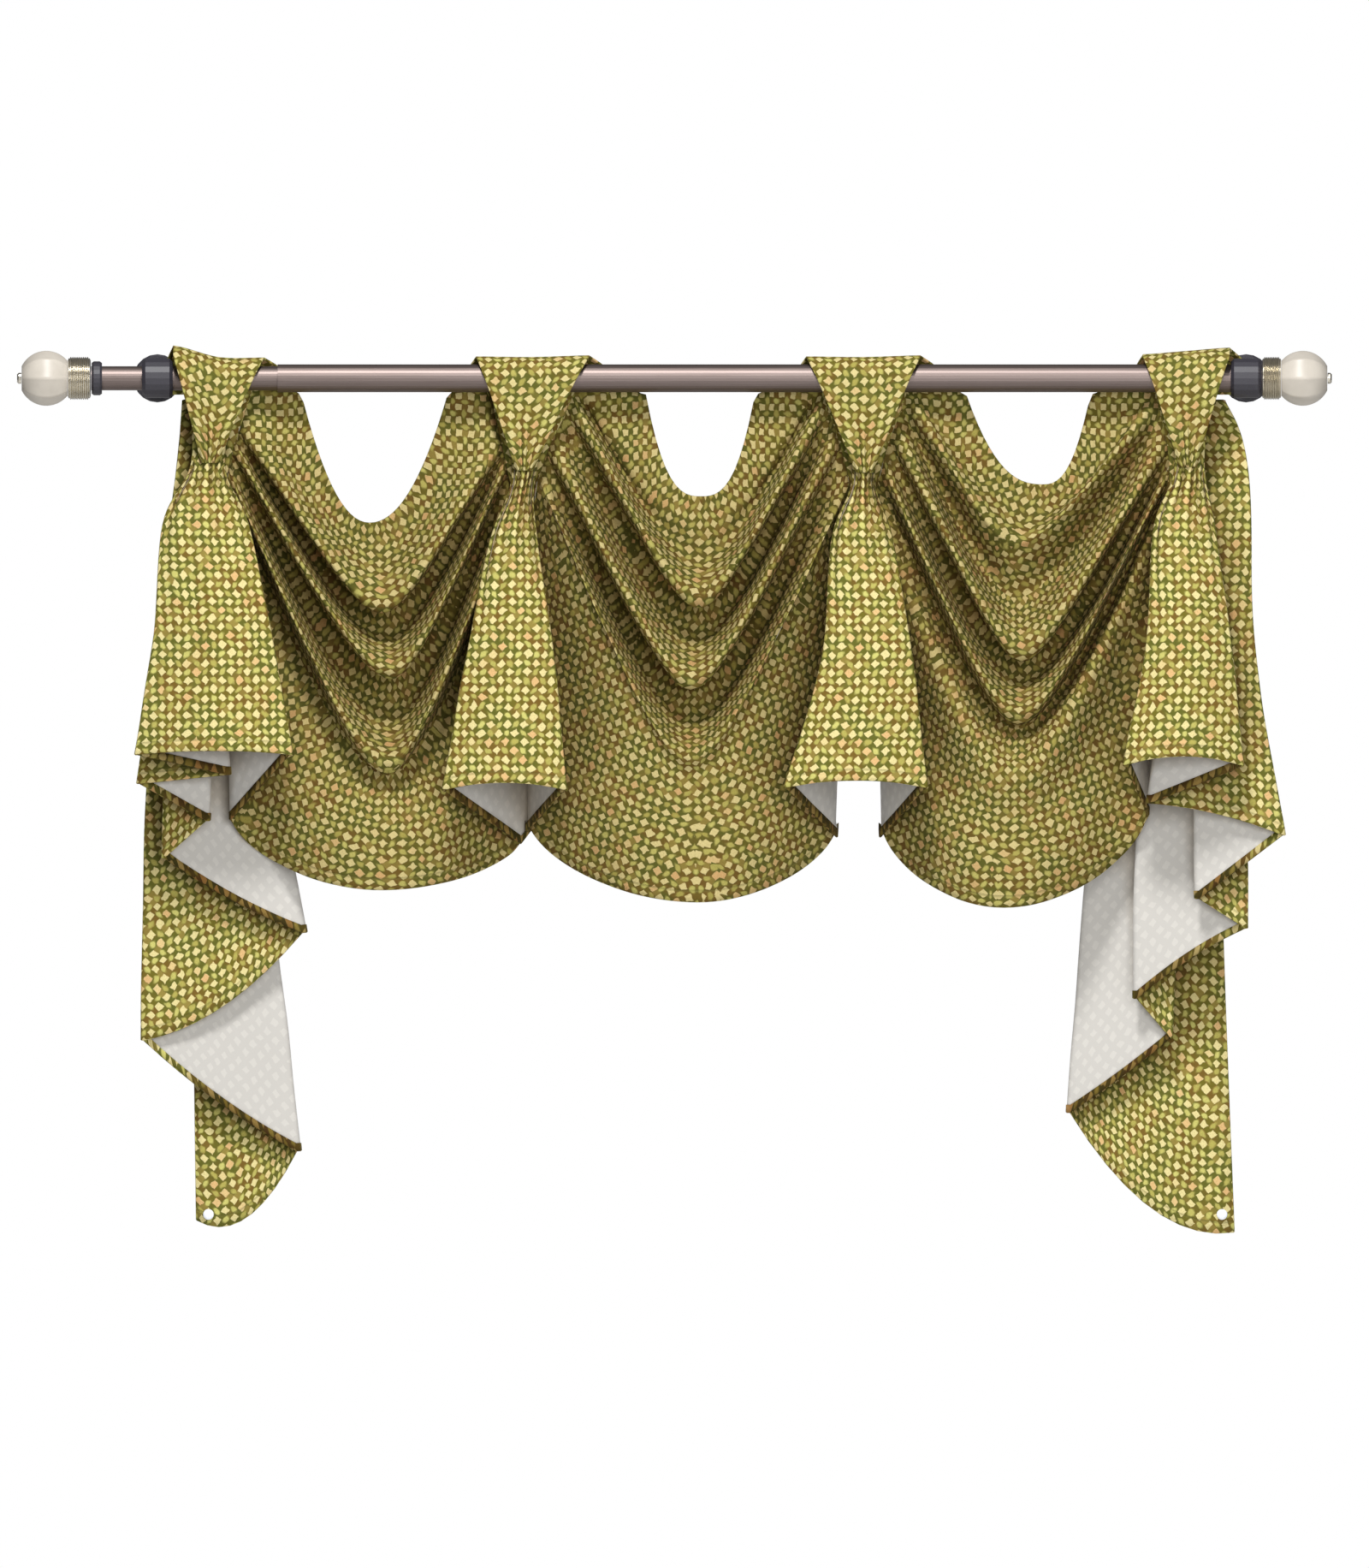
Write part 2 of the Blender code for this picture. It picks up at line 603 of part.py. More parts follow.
def make_bracket(name, material):
    """A cup round the rod, an arm back to the wall and a round plate flat on the wall."""
    half = CUP_LENGTH / 2
    bore = CUP_BORE[name]
    cup_profile = (
        (-half, bore), (-half, CUP_RADIUS - CUP_EDGE), (-half + CUP_EDGE, CUP_RADIUS),
        (half - CUP_EDGE, CUP_RADIUS), (half, CUP_RADIUS - CUP_EDGE), (half, bore),
    )
    bracket = turned(name, cup_profile, (CUP_X[name], ROD_Y, 0), material, CUP_STEPS, hollow=True)
    plate_front = -ROD_Y - PLATE_THICKNESS
    stem = (
        (bore + ARM_FROM_BORE, ARM_RADIUS), (plate_front, ARM_RADIUS),
        (plate_front, PLATE_RADIUS - PLATE_EDGE), (plate_front + PLATE_EDGE, PLATE_RADIUS),
        (-ROD_Y, PLATE_RADIUS),
    )
    arm = turned(name + "_arm_shape", stem, (CUP_X[name], ROD_Y, 0), material, CUP_STEPS)
    arm.rotation_euler.z = math.radians(90)
    arm.hide_render = True
    arm.display_type = "WIRE"
    union = bracket.modifiers.new("arm", "BOOLEAN")
    union.operation = "UNION"
    union.object = arm


def make_finials(materials):
    """Wire-wound neck, faceted ball and end cap at each end, and a dark ring on the left."""
    turned("neck_ring_left", RING_PROFILE, (0, ROD_Y, 0), materials["dark"], NECK_STEPS, hollow=True)
    for row in NECKS:
        neck = dict(zip(NECK_COLUMNS, row))
        outward, length = neck["outward"], neck["length"]
        profile = (
            (0.0, NECK_END_RADIUS), (NECK_EDGE, NECK_RADIUS),
            (length - NECK_EDGE, NECK_RADIUS), (length, NECK_END_RADIUS),
        )
        placed = [(neck["start"] + outward * x, radius) for x, radius in profile]
        turned("neck_" + neck["side"], placed, (0, ROD_Y, 0), materials["wire"], NECK_STEPS)
        ball_x = neck["start"] + outward * (length + SEAT_GAP + reach_to(BALL_NECK_FLAT))
        make_ball("ball_" + neck["side"], ball_x, outward, materials["glass"])
        cap_from = reach_to(BALL_CAP_FLAT) + SEAT_GAP
        cap_edge = cap_from + CAP_LENGTH - CAP_EDGE
        cap = ((cap_from, CAP_RADIUS), (cap_edge, CAP_RADIUS), (cap_from + CAP_LENGTH, CAP_END_RADIUS))
        placed = [(ball_x + outward * x, radius) for x, radius in cap]
        turned("end_cap_" + neck["side"], placed, (0, ROD_Y, 0), materials["wire"], CAP_STEPS)


def reach_to(flat):
    """How far from the ball's middle its flat of this radius lies."""
    return math.sqrt(BALL_RADIUS**2 - flat**2)


def make_ball(name, centre_x, outward, material):
    """A glass ball with soft facets, flattened where the neck and the cap meet it."""
    build = bmesh.new()
    low = -math.acos(BALL_NECK_FLAT / BALL_RADIUS)
    high = math.acos(BALL_CAP_FLAT / BALL_RADIUS)
    rings = []
    for row in range(BALL_ROWS):
        lean = mix(low, high, row / (BALL_ROWS - 1))
        ring_x = outward * math.sin(lean) * BALL_RADIUS
        ring = ring_of(build, ring_x, BALL_RADIUS * math.cos(lean), BALL_STEPS)
        for step, point in enumerate(ring):
            angle = 2 * math.pi * step / BALL_STEPS
            facet = 1.0 - BALL_FACET * (0.5 - 0.5 * math.cos(BALL_FACETS * angle)) * math.cos(lean)
            point.co.y *= facet
            point.co.z *= facet
        rings.append(ring)
    bridge(build, rings, closed=False)
    add_object(name, build, material, (centre_x * MM, ROD_Y * MM, 0.0))


def make_pins(material):
    """Clear heads that lie on the end panels of the tails, by their lowest corners."""
    for name, tail, x, z in PINS:
        before, end = (dict(zip(FOLD_COLUMNS, fold)) for fold in TAILS[tail][-2:])
        share = (x - end["hem_x"]) / (before["hem_x"] - end["hem_x"])
        cloth_y = mix(end["hem_y"], before["hem_y"] + FOLD_HALF_TURN, share)
        build = bmesh.new()
        bmesh.ops.create_uvsphere(build, u_segments=16, v_segments=8, radius=PIN_HEAD_RADIUS * MM)
        bmesh.ops.scale(build, vec=(1.0, PIN_HEAD_DEPTH / PIN_HEAD_RADIUS, 1.0), verts=build.verts)
        y = cloth_y - PIN_HEAD_DEPTH - PIN_GAP
        add_object(name, build, material, (x * MM, y * MM, z * MM))


def main():
    remove_everything()
    materials = {
        "print": plain_material("print", (0.45, 0.46, 0.16), 0.9),
        "lining": plain_material("lining", (0.78, 0.76, 0.74), 0.9),
        "rod": plain_material("rod", (0.42, 0.35, 0.31), 0.35, 0.9),
        "dark": plain_material("dark", (0.06, 0.065, 0.08), 0.5),
        "wire": plain_material("wire", (0.62, 0.60, 0.55), 0.3, 1.0),
        "glass": plain_material("glass", (0.86, 0.85, 0.80), 0.25),
        "pin": plain_material("pin", (0.85, 0.87, 0.88), 0.15),
    }
    make_cloth(materials)
    for row in TABS:
        make_tab(row, materials["print"])
    make_rod(materials)
    for name in CUP_X:
        make_bracket(name, materials["dark"])
    make_finials(materials)
    make_pins(materials["pin"])


main()
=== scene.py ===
"""Looks of the window swag: the printed cloth and its lining hang on the solids' folds, in more
detail, and the rod, brackets, finials and pins get their finishes. Tables are in millimetres."""

import math

import bmesh
import bpy
import numpy
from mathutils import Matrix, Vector, noise
from mathutils.bvhtree import BVHTree


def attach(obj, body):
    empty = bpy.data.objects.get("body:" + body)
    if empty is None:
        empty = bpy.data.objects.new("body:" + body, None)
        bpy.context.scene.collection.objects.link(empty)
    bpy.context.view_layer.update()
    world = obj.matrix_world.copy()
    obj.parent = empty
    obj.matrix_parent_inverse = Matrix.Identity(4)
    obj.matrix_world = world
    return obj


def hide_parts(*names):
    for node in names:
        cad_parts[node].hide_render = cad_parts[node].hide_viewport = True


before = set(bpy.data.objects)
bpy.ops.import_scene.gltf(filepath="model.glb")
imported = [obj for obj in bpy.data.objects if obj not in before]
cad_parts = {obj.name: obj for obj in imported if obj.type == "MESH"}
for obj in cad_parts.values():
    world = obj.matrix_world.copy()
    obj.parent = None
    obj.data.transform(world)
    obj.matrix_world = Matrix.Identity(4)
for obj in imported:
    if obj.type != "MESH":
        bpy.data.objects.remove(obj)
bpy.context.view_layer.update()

MM = 0.001
WHITE = (1.0, 1.0, 1.0, 1.0)
ROD_Y = -80.0
SEAT_GAP = 0.3
TAB_THICKNESS = 2.0
BALL_RADIUS = 25.0
BALL_NECK_FLAT = 16.0
BALL_CAP_FLAT = 11.0

# Cloth at the rod's height stays behind this depth, and below the rod's reach it may come forward
# with this slope
BEHIND_ROD = -64.8
ROD_REACH = 17.0
FORWARD_SLOPE = 1.1

# Each row of a swag, from its top edge to its hem. left and right are the heights at which the row
# leaves the gathers, low_x and low its lowest point, front its depth there, round how wide its bend
# is (0 is a V), belly how far it swells beside the horns.
SWAG_COLUMNS = ("row", "left", "right", "low_x", "low", "front", "round", "belly")
SWAGS = {
    "swag_1": (
        ("edge", 7, 8, -287, -132, -66, 0.5, 0.0),
        ("band", -8, -14, -280, -160, -70, 0.40, 0.0),
        ("crown_1", -36, -50, -276, -198, -98, 0.30, 0.0),
        ("nose_1", -46, -62, -276, -214, -96, 0.22, 0.0),
        ("tuck_1", -50, -66, -274, -212, -76, 0.24, 0.0),
        ("valley_2", -54, -70, -272, -236, -74, 0.30, 0.0),
        ("crown_2", -60, -77, -268, -259, -108, 0.30, 0.0),
        ("nose_2", -66, -83, -267, -274, -103, 0.24, 0.0),
        ("tuck_2", -70, -88, -268, -271, -82, 0.26, 0.0),
        ("valley_3", -75, -96, -269, -310, -78, 0.30, 0.0),
        ("crown_3", -84, -112, -270, -344, -114, 0.28, 0.0),
        ("nose_3", -92, -124, -270, -360, -108, 0.24, 0.0),
        ("tuck_3", -104, -140, -270, -362, -90, 0.28, 0.05),
        ("apron_1", -180, -215, -272, -400, -98, 0.45, 0.2),
        ("apron_2", -300, -325, -274, -437, -102, 0.60, 0.3),
        ("hem", -402, -424, -276, -466, -98, 0.70, 0.35),
    ),
    "swag_2": (
        ("edge", 8, 8, 15, -108, -66, 0.5, 0.0),
        ("band", -4, -4, 15, -138, -70, 0.40, 0.0),
        ("valley_1", -10, -10, 14, -166, -76, 0.35, 0.0),
        ("crown_1", -17, -19, 14, -192, -104, 0.28, 0.0),
        ("nose_1", -25, -27, 13, -209, -100, 0.22, 0.0),
        ("tuck_1", -31, -33, 13, -206, -78, 0.24, 0.0),
        ("valley_2", -40, -40, 10, -236, -76, 0.28, 0.0),
        ("crown_2", -56, -50, 7, -266, -110, 0.26, 0.0),
        ("nose_2", -65, -58, 6, -284, -106, 0.22, 0.0),
        ("tuck_2", -70, -64, 6, -281, -84, 0.24, 0.0),
        ("valley_3", -77, -74, 5, -310, -80, 0.28, 0.0),
        ("crown_3", -90, -94, 5, -342, -116, 0.28, 0.0),
        ("nose_3", -100, -106, 5, -360, -110, 0.26, 0.0),
        ("apron_1", -180, -180, 8, -400, -106, 0.42, 0.2),
        ("apron_2", -300, -300, 10, -442, -108, 0.58, 0.3),
        ("hem", -406, -412, 12, -477, -104, 0.70, 0.35),
    ),
    "swag_3": (
        ("edge", 8, 7, 327, -97, -66, 0.5, 0.0),
        ("band", -2, -6, 318, -124, -72, 0.40, 0.0),
        ("crown_1", -10, -18, 304, -146, -90, 0.30, 0.0),
        ("nose_1", -18, -27, 302, -160, -86, 0.24, 0.0),
        ("valley_2", -28, -36, 302, -200, -74, 0.26, 0.0),
        ("crown_2", -42, -52, 306, -238, -108, 0.24, 0.0),
        ("nose_2", -52, -62, 307, -257, -104, 0.18, 0.0),
        ("tuck_2", -58, -68, 307, -254, -82, 0.22, 0.0),
        ("valley_3", -66, -74, 306, -276, -82, 0.26, 0.0),
        ("crown_3", -76, -82, 305, -300, -110, 0.26, 0.0),
        ("nose_3", -84, -90, 304, -314, -106, 0.22, 0.0),
        ("tuck_3", -96, -100, 303, -320, -86, 0.26, 0.0),
        ("crown_4", -124, -124, 300, -358, -110, 0.30, 0.05),
        ("apron_1", -200, -210, 297, -402, -100, 0.42, 0.2),
        ("apron_2", -310, -300, 293, -446, -104, 0.56, 0.3),
        ("hem", -412, -398, 291, -482, -100, 0.66, 0.35),
    ),
}
# A row's depth falls from its middle to its gather with this power, at the rod and at the hem
DEPTH_POWERS = (2.0, 3.0)
HEM_DEPTH = 480.0
# The opening under the rod: its width on each side of its lowest point, how square its sides are
# (power), and how high the cloth stands beside it (peak)
SCALLOP_COLUMNS = ("left_width", "right_width", "power", "peak")
SCALLOPS = {
    "swag_1": (62.0, 71.0, 2.1, 15.0),
    "swag_2": (50.0, 49.0, 2.8, 16.0),
    "swag_3": (70.0, 43.0, 2.5, 15.0),
}
SHOULDER_Z = -15.0
PEAK_REACHED = 1.3
END_POWER = 3
# The horn's fold that a swag meets on its left and on its right
SWAG_SIDES = {
    "swag_1": (("horn_1", "fold_right"), ("horn_2", "fold_left")),
    "swag_2": (("horn_2", "fold_right"), ("horn_3", "fold_left")),
    "swag_3": (("horn_3", "fold_right"), ("horn_4", "fold_left")),
}

# Each level of a horn. fold_z, fold_left and fold_right place the deep folds between the horn and
# the swags, swag_y the cloth that comes from the swags and panel_y the horn's inner panels; edge_z,
# front_z, left and right place the horn's own edges and middle, edge_y and front_y their depth.
HORN_COLUMNS = (
    "fold_z", "fold_left", "fold_right", "swag_y", "panel_y",
    "edge_z", "front_z", "left", "right", "edge_y", "front_y",
)
HORNS = {
    "horn_1": (
        (6, -458, -390, -64.8, -64.8, 6, 6, -452, -398, -64.8, -64.8),
        (-76, -446, -414, -76, -78, -76, -76, -450, -419, -84, -90),
        (-140, -446, -420, -74, -80, -134, -131, -476, -397, -104, -112),
        (-246, -430, -416, -74, -81, -236, -232, -484, -376, -120, -136),
        (-402, -416, -413, -72, -80, -343, -339, -502, -357, -130, -150),
    ),
    "horn_2": (
        (8, -182, -94, -64.8, -64.8, 8, 8, -172, -104, -64.8, -64.8),
        (-83, -162, -130, -72, -75, -83, -83, -157, -135, -82, -90),
        (-150, -153, -143, -54, -62, -148, -146, -177, -134, -100, -110),
        (-262, -151, -143, -44, -52, -255, -252, -199, -119, -118, -131),
        (-424, -150, -143, -38, -46, -376, -368, -221, -107, -128, -147),
    ),
    "horn_3": (
        (8, 119, 208, -64.8, -64.8, 8, 8, 129, 198, -64.8, -64.8),
        (-85, 148, 179, -72, -75, -85, -85, 153, 174, -82, -90),
        (-150, 150, 172, -54, -62, -146, -143, 134, 190, -100, -110),
        (-262, 142, 176, -44, -52, -253, -250, 126, 207, -118, -131),
        (-418, 138, 180, -38, -46, -374, -366, 90, 222, -128, -147),
    ),
    "horn_4": (
        (6, 425, 488, -64.8, -64.8, 6, 6, 433, 480, -64.8, -64.8),
        (-80, 442, 466, -76, -78, -80, -80, 447, 474, -84, -90),
        (-146, 428, 458, -74, -80, -138, -134, 428, 484, -104, -112),
        (-250, 424, 444, -74, -81, -240, -236, 421, 498, -120, -136),
        (-398, 422, 424, -72, -80, -354, -344, 400, 510, -130, -150),
    ),
}
# Rows down a horn: 0 is its top edge, 1 the gather, 4 its hem
HORN_ROWS = (0.0, 0.4, 1.0, 1.6, 2.3, 3.0, 3.5, 4.0)
# Between a horn's edge and its middle: shares of the way in depth and height
SHOULDER_DEPTH = 0.55
SHOULDER_HEIGHT = 0.8
EDGE_HEIGHT = 0.2
EDGE_INSET = 0.4
TAIL_SIDE = {"horn_1": "left", "horn_4": "right"}

# The folds of a tail, from the horn's edge back to its end corner. mid_x is halfway down from the
# gather, and sag is how far the hem hangs under a straight line from the fold before.
FOLD_COLUMNS = ("top_x", "gather_x", "mid_x", "hem_x", "hem_z", "hem_y", "sag")
TAILS = {
    "tail_left": (
        (-404, -432, -424, -415, -361, -112, 0),
        (-459, -463, -482, -500, -369, -99, 0),
        (-404, -430, -430, -434, -403, -86, 0),
        (-459, -462, -472, -477, -437, -73, 0),
        (-400, -424, -388, -346, -505, -58, 5),
        (-459, -463, -489, -496, -603, -44, 18),
        (-400, -420, -386, -351, -704, -30, 7),
        (-457, -458, -450, -445, -767, -17, 29),
    ),
    "tail_right": (
        (432, 452, 440, 423, -387, -112, 0),
        (494, 515, 521, 548, -416, -99, -5),
        (432, 458, 462, 467, -474, -86, 0),
        (494, 508, 512, 514, -501, -73, 0),
        (428, 436, 416, 410, -565, -58, -5),
        (488, 484, 456, 446, -601, -44, 0),
        (424, 400, 374, 349, -669, -30, 2),
        (490, 488, 489, 501, -778, -17, 33),
    ),
}
# Rows down a tail: 0 is its top edge, 1 the gather, 3 its hem
TAIL_ROWS = (0.0, 0.4, 1.0, 1.4, 1.8, 2.2, 2.6, 3.0)
TAIL_TOP_Z = -20.0
TAIL_TOP_DEPTHS = (-58.0, -20.0)
TAIL_GATHER_DEPTHS = (-76.0, -19.0)
MID_DEPTH = 0.6
# Half of the depth of each fold's turn, and the share of it at the fold's top, gather, middle and hem
FOLD_HALF_TURN = 4.0
TURN_SHARES = (0.5, 0.7, 1.0, 1.0)

# Tabs: edges at the rod, the pinch, and how much farther from the rod the left, middle and right lie
TAB_COLUMNS = ("node", "left", "right", "pinch_x", "pinch_z", "left_lift", "mid_lift", "right_lift")
TABS = (
    ("tab_1", -466.0, -383.0, -433.0, -77.0, 10.0, -0.5, -1.0),
    ("tab_2", -190.0, -87.0, -146.0, -84.0, 0.0, -0.5, 1.0),
    ("tab_3", 111.0, 215.0, 164.0, -86.0, 0.0, -0.5, 1.0),
    ("tab_4", 418.0, 497.0, 459.0, -81.0, 2.0, 5.0, 8.0),
)
TAB_RADIUS = 20.0
TAB_AXIS_Y = -76.7
TAB_BACK_Z = -15.0
TAB_FRONT_Y = -96.5
TAB_PINCH_HALF = 8.0
TAB_PLEATS = 3
TAB_PLEAT_DEPTH = 2.2
TAB_PLEAT_POWER = 1.5
# Places along a tab's path, 0 behind the rod and 1 at the pinch: it lies on the rod between these two
TAB_OVER_FROM = 0.22
TAB_OVER_TO = 0.5


def mix(a, b, share):
    return a + (b - a) * share


def smooth(share):
    share = min(max(share, 0.0), 1.0)
    return share * share * (3.0 - 2.0 * share)


def along(values, place):
    """The value at a place between 0 and the last index, on a smooth curve through the values."""
    last = len(values) - 1
    start = min(max(int(math.floor(place)), 0), last - 1)
    t = place - start
    before = values[max(start - 1, 0)]
    first = values[start]
    second = values[start + 1]
    after = values[min(start + 2, last)]
    slope_in = (second - before) * 0.5
    slope_out = (after - first) * 0.5
    return (
        first * (2 * t**3 - 3 * t**2 + 1)
        + slope_in * (t**3 - 2 * t**2 + t)
        + second * (3 * t**2 - 2 * t**3)
        + slope_out * (t**3 - t**2)
    )


def horn_level(horn, column, row):
    """One column of a horn's table at a row between its levels."""
    index = HORN_COLUMNS.index(column)
    return along([level[index] for level in HORNS[horn]], row)


def fold_beside(horn, side, z):
    """The point at height z of the swag's end, where it meets the horn's fold."""
    levels = HORNS[horn]
    index = HORN_COLUMNS.index(side)
    row = 0.0
    for upper, lower in zip(levels, levels[1:]):
        row += min(max((upper[0] - z) / (upper[0] - lower[0]), 0.0), 1.0)
    return Vector((along([level[index] for level in levels], row), horn_level(horn, "swag_y", row), z))


def keep_behind_rod(point):
    """Cloth at the rod's height stays behind it, and may come forward as it hangs below it."""
    below = -ROD_REACH - point.z
    limit = BEHIND_ROD - FORWARD_SLOPE * max(below, 0.0)
    if point.y < limit:
        point.y = limit
    return point


def swag_row_point(swag, row, half, side, sideways):
    """A point of one row: sideways is 0 at the swag's middle and 1 at the gather on that side."""
    values = dict(zip(SWAG_COLUMNS, row))
    end_z = values["left"] if side < 0 else values["right"]
    end = fold_beside(half[0], half[1], end_z)
    reach = sideways * (1.0 + values["belly"]) - values["belly"] * sideways**3
    x = mix(values["low_x"], end.x, reach)
    if values["row"] == "edge":
        scallop = dict(zip(SCALLOP_COLUMNS, SCALLOPS[swag]))
        width = scallop["left_width"] if side < 0 else scallop["right_width"]
        beside = abs(x - values["low_x"])
        if beside < width:
            z = mix(values["low"], SHOULDER_Z, (beside / width) ** scallop["power"])
        else:
            rest = (beside - width) / (abs(end.x - values["low_x"]) - width)
            raised = mix(SHOULDER_Z, scallop["peak"], smooth(rest * PEAK_REACHED))
            z = mix(raised, end_z, smooth(rest) ** END_POWER)
        y = mix(values["front"], BEHIND_ROD, smooth(beside / width))
        return keep_behind_rod(Vector((x, y, z)))
    bend = values["round"]
    rise = (math.hypot(sideways, bend) - bend) / (math.hypot(1.0, bend) - bend)
    back = reach ** mix(*DEPTH_POWERS, smooth(-values["low"] / HEM_DEPTH))
    point = Vector((x, mix(values["front"], end.y, back), mix(values["low"], end_z, rise)))
    return keep_behind_rod(point)


def horn_point(horn, station, row):
    """A point of a horn: stations run from the left fold round the front to the right fold."""
    value = {name: horn_level(horn, name, row) for name in HORN_COLUMNS}
    below_top = min(row, 1.0)
    turn = FOLD_HALF_TURN * below_top
    flat = FOLD_HALF_TURN - turn
    edge_y, front_y = value["edge_y"], value["front_y"]
    edge_z, front_z = value["edge_z"], value["front_z"]
    middle = Vector((mix(value["left"], value["right"], 0.5), front_y - 0.5 * turn, front_z))
    if station == "front":
        return keep_behind_rod(middle)
    place, side = station.split("_")
    outward = -1.0 if side == "left" else 1.0
    edge_x = value[side]
    joins_tail = TAIL_SIDE.get(horn) == side
    fold = Vector((value["fold_" + side], value["panel_y"], value["fold_z"]))
    back = Vector((edge_x + outward * 0.5 * flat, edge_y + turn, edge_z))
    if joins_tail:
        back.y = edge_y + FOLD_HALF_TURN
        back.z = mix(TAIL_TOP_Z, edge_z, below_top)
    edge_in = outward * (EDGE_INSET * turn + flat)
    shoulder_y = mix(edge_y, front_y, SHOULDER_DEPTH) - turn
    points = {
        "fold": fold,
        "back": back,
        "edge": Vector((edge_x - edge_in, edge_y - turn, mix(edge_z, front_z, EDGE_HEIGHT))),
        "front": Vector((mix(edge_x, middle.x, 0.5), shoulder_y, mix(edge_z, front_z, SHOULDER_HEIGHT))),
    }
    return points[place] if place == "back" and joins_tail else keep_behind_rod(points[place])


def fold_path(tail, number, depth_shift):
    """The line of one fold of a tail, from its top to its hem."""
    fold = dict(zip(FOLD_COLUMNS, TAILS[tail][number]))
    share = (number + 1) / len(TAILS[tail])
    gather_z = HORNS["horn_1" if tail == "tail_left" else "horn_4"][1][0]
    mid_z = mix(gather_z, fold["hem_z"], 0.5)
    top_y = mix(*TAIL_TOP_DEPTHS, share)
    gather_y = mix(*TAIL_GATHER_DEPTHS, share)
    levels = [
        Vector((fold["top_x"], top_y, TAIL_TOP_Z)),
        Vector((fold["gather_x"], gather_y, gather_z)),
        Vector((fold["mid_x"], mix(gather_y, fold["hem_y"], MID_DEPTH), mid_z)),
        Vector((fold["hem_x"], fold["hem_y"], fold["hem_z"])),
    ]
    for level, turn_share in zip(levels, TURN_SHARES):
        level.y += turn_share * depth_shift
    return [along(levels, row) for row in TAIL_ROWS_FINE]


def tab_point(tab, across, path):
    """A point of a tab's outer surface: path runs from behind the rod (0) over it to the pinch (1)."""
    lift = along((tab["left_lift"], tab["mid_lift"], tab["right_lift"]), 2.0 * across)
    x = mix(tab["left"], tab["right"], across)
    radius = TAB_RADIUS + lift
    if path < TAB_OVER_FROM:
        share = path / TAB_OVER_FROM
        return Vector((x, TAB_AXIS_Y + radius, mix(TAB_BACK_Z, 0.0, share)))
    if path < TAB_OVER_TO:
        angle = math.pi * (path - TAB_OVER_FROM) / (TAB_OVER_TO - TAB_OVER_FROM)
        return Vector((x, TAB_AXIS_Y + radius * math.cos(angle), radius * math.sin(angle)))
    share = (path - TAB_OVER_TO) / (1.0 - TAB_OVER_TO)
    narrow = mix(tab["pinch_x"] - TAB_PINCH_HALF, tab["pinch_x"] + TAB_PINCH_HALF, across)
    wave = math.cos(2 * math.pi * TAB_PLEATS * (across - 0.5)) * TAB_PLEAT_DEPTH * share**TAB_PLEAT_POWER
    y = mix(TAB_AXIS_Y - radius, TAB_FRONT_Y, smooth(share)) - wave
    return Vector((mix(x, narrow, share), y, mix(0.0, tab["pinch_z"], share)))


FACE_THICKNESS = 0.8
LINING_FROM = 1.1
LINING_THICKNESS = 0.7
# Side of one printed cell
CELL = 5.7
# How finely the sheets are laid: steps from one row of a table to the next, and across each piece
FINE_ROWS = 7
SWAG_SUBROWS = 5
SWAG_STEPS = 24
PANEL_STEPS = 9
TURN_STEPS = 5
FRONT_STEPS = 26
# How round a fold turns: 0 is flat, 1 a half circle
TURN_BULGE = 0.6
# How far the print runs down each column's own length (1) or the anchor column's (0)
PANEL_OWN_DOWN = 0.5
FRONT_OWN_DOWN = 0.6


def finer(values, steps):
    """Every value, with steps - 1 more laid evenly between each two."""
    found = []
    for a, b in zip(values, values[1:]):
        found += [mix(a, b, step / steps) for step in range(steps)]
    return found + [values[-1]]


HORN_ROWS_FINE = finer(HORN_ROWS, FINE_ROWS)
TAIL_ROWS_FINE = finer(TAIL_ROWS, FINE_ROWS)


def lengths(points):
    """Distance from the first point to each, along the line of points."""
    found = [0.0]
    for a, b in zip(points, points[1:]):
        found.append(found[-1] + (b - a).length)
    return found


class Patch:
    """Columns of points side by side with their cloth coordinates: across and down, in millimetres."""

    def __init__(self, columns, anchor, own_down):
        self.columns = columns
        rows = len(columns[0])
        self.across = [[0.0] * rows for column in columns]
        for row in range(rows):
            reached = lengths([column[row] for column in columns])
            for number in range(len(columns)):
                self.across[number][row] = reached[number] - reached[anchor]
        middle = lengths(columns[anchor])
        self.down = []
        for column in columns:
            own = lengths(column)
            self.down.append([mix(a, b, own_down) for a, b in zip(middle, own)])

    def mark(self, number, row, face_row):
        """The cloth coordinates of a point as a corner of the faces under face_row."""
        return self.across[number][row], self.down[number][row]


# The print of a swag settles in this many rounds, each with a share of the last one's move
PRINT_ROUNDS = 2000
PRINT_SWING = 0.8
SHORTEST = 1e-6
# How far the print is moved on from one band to the next
BAND_SHIFT = 3.3
EVERY = slice(None)
EARLIER = slice(None, -1)
LATER = slice(1, None)


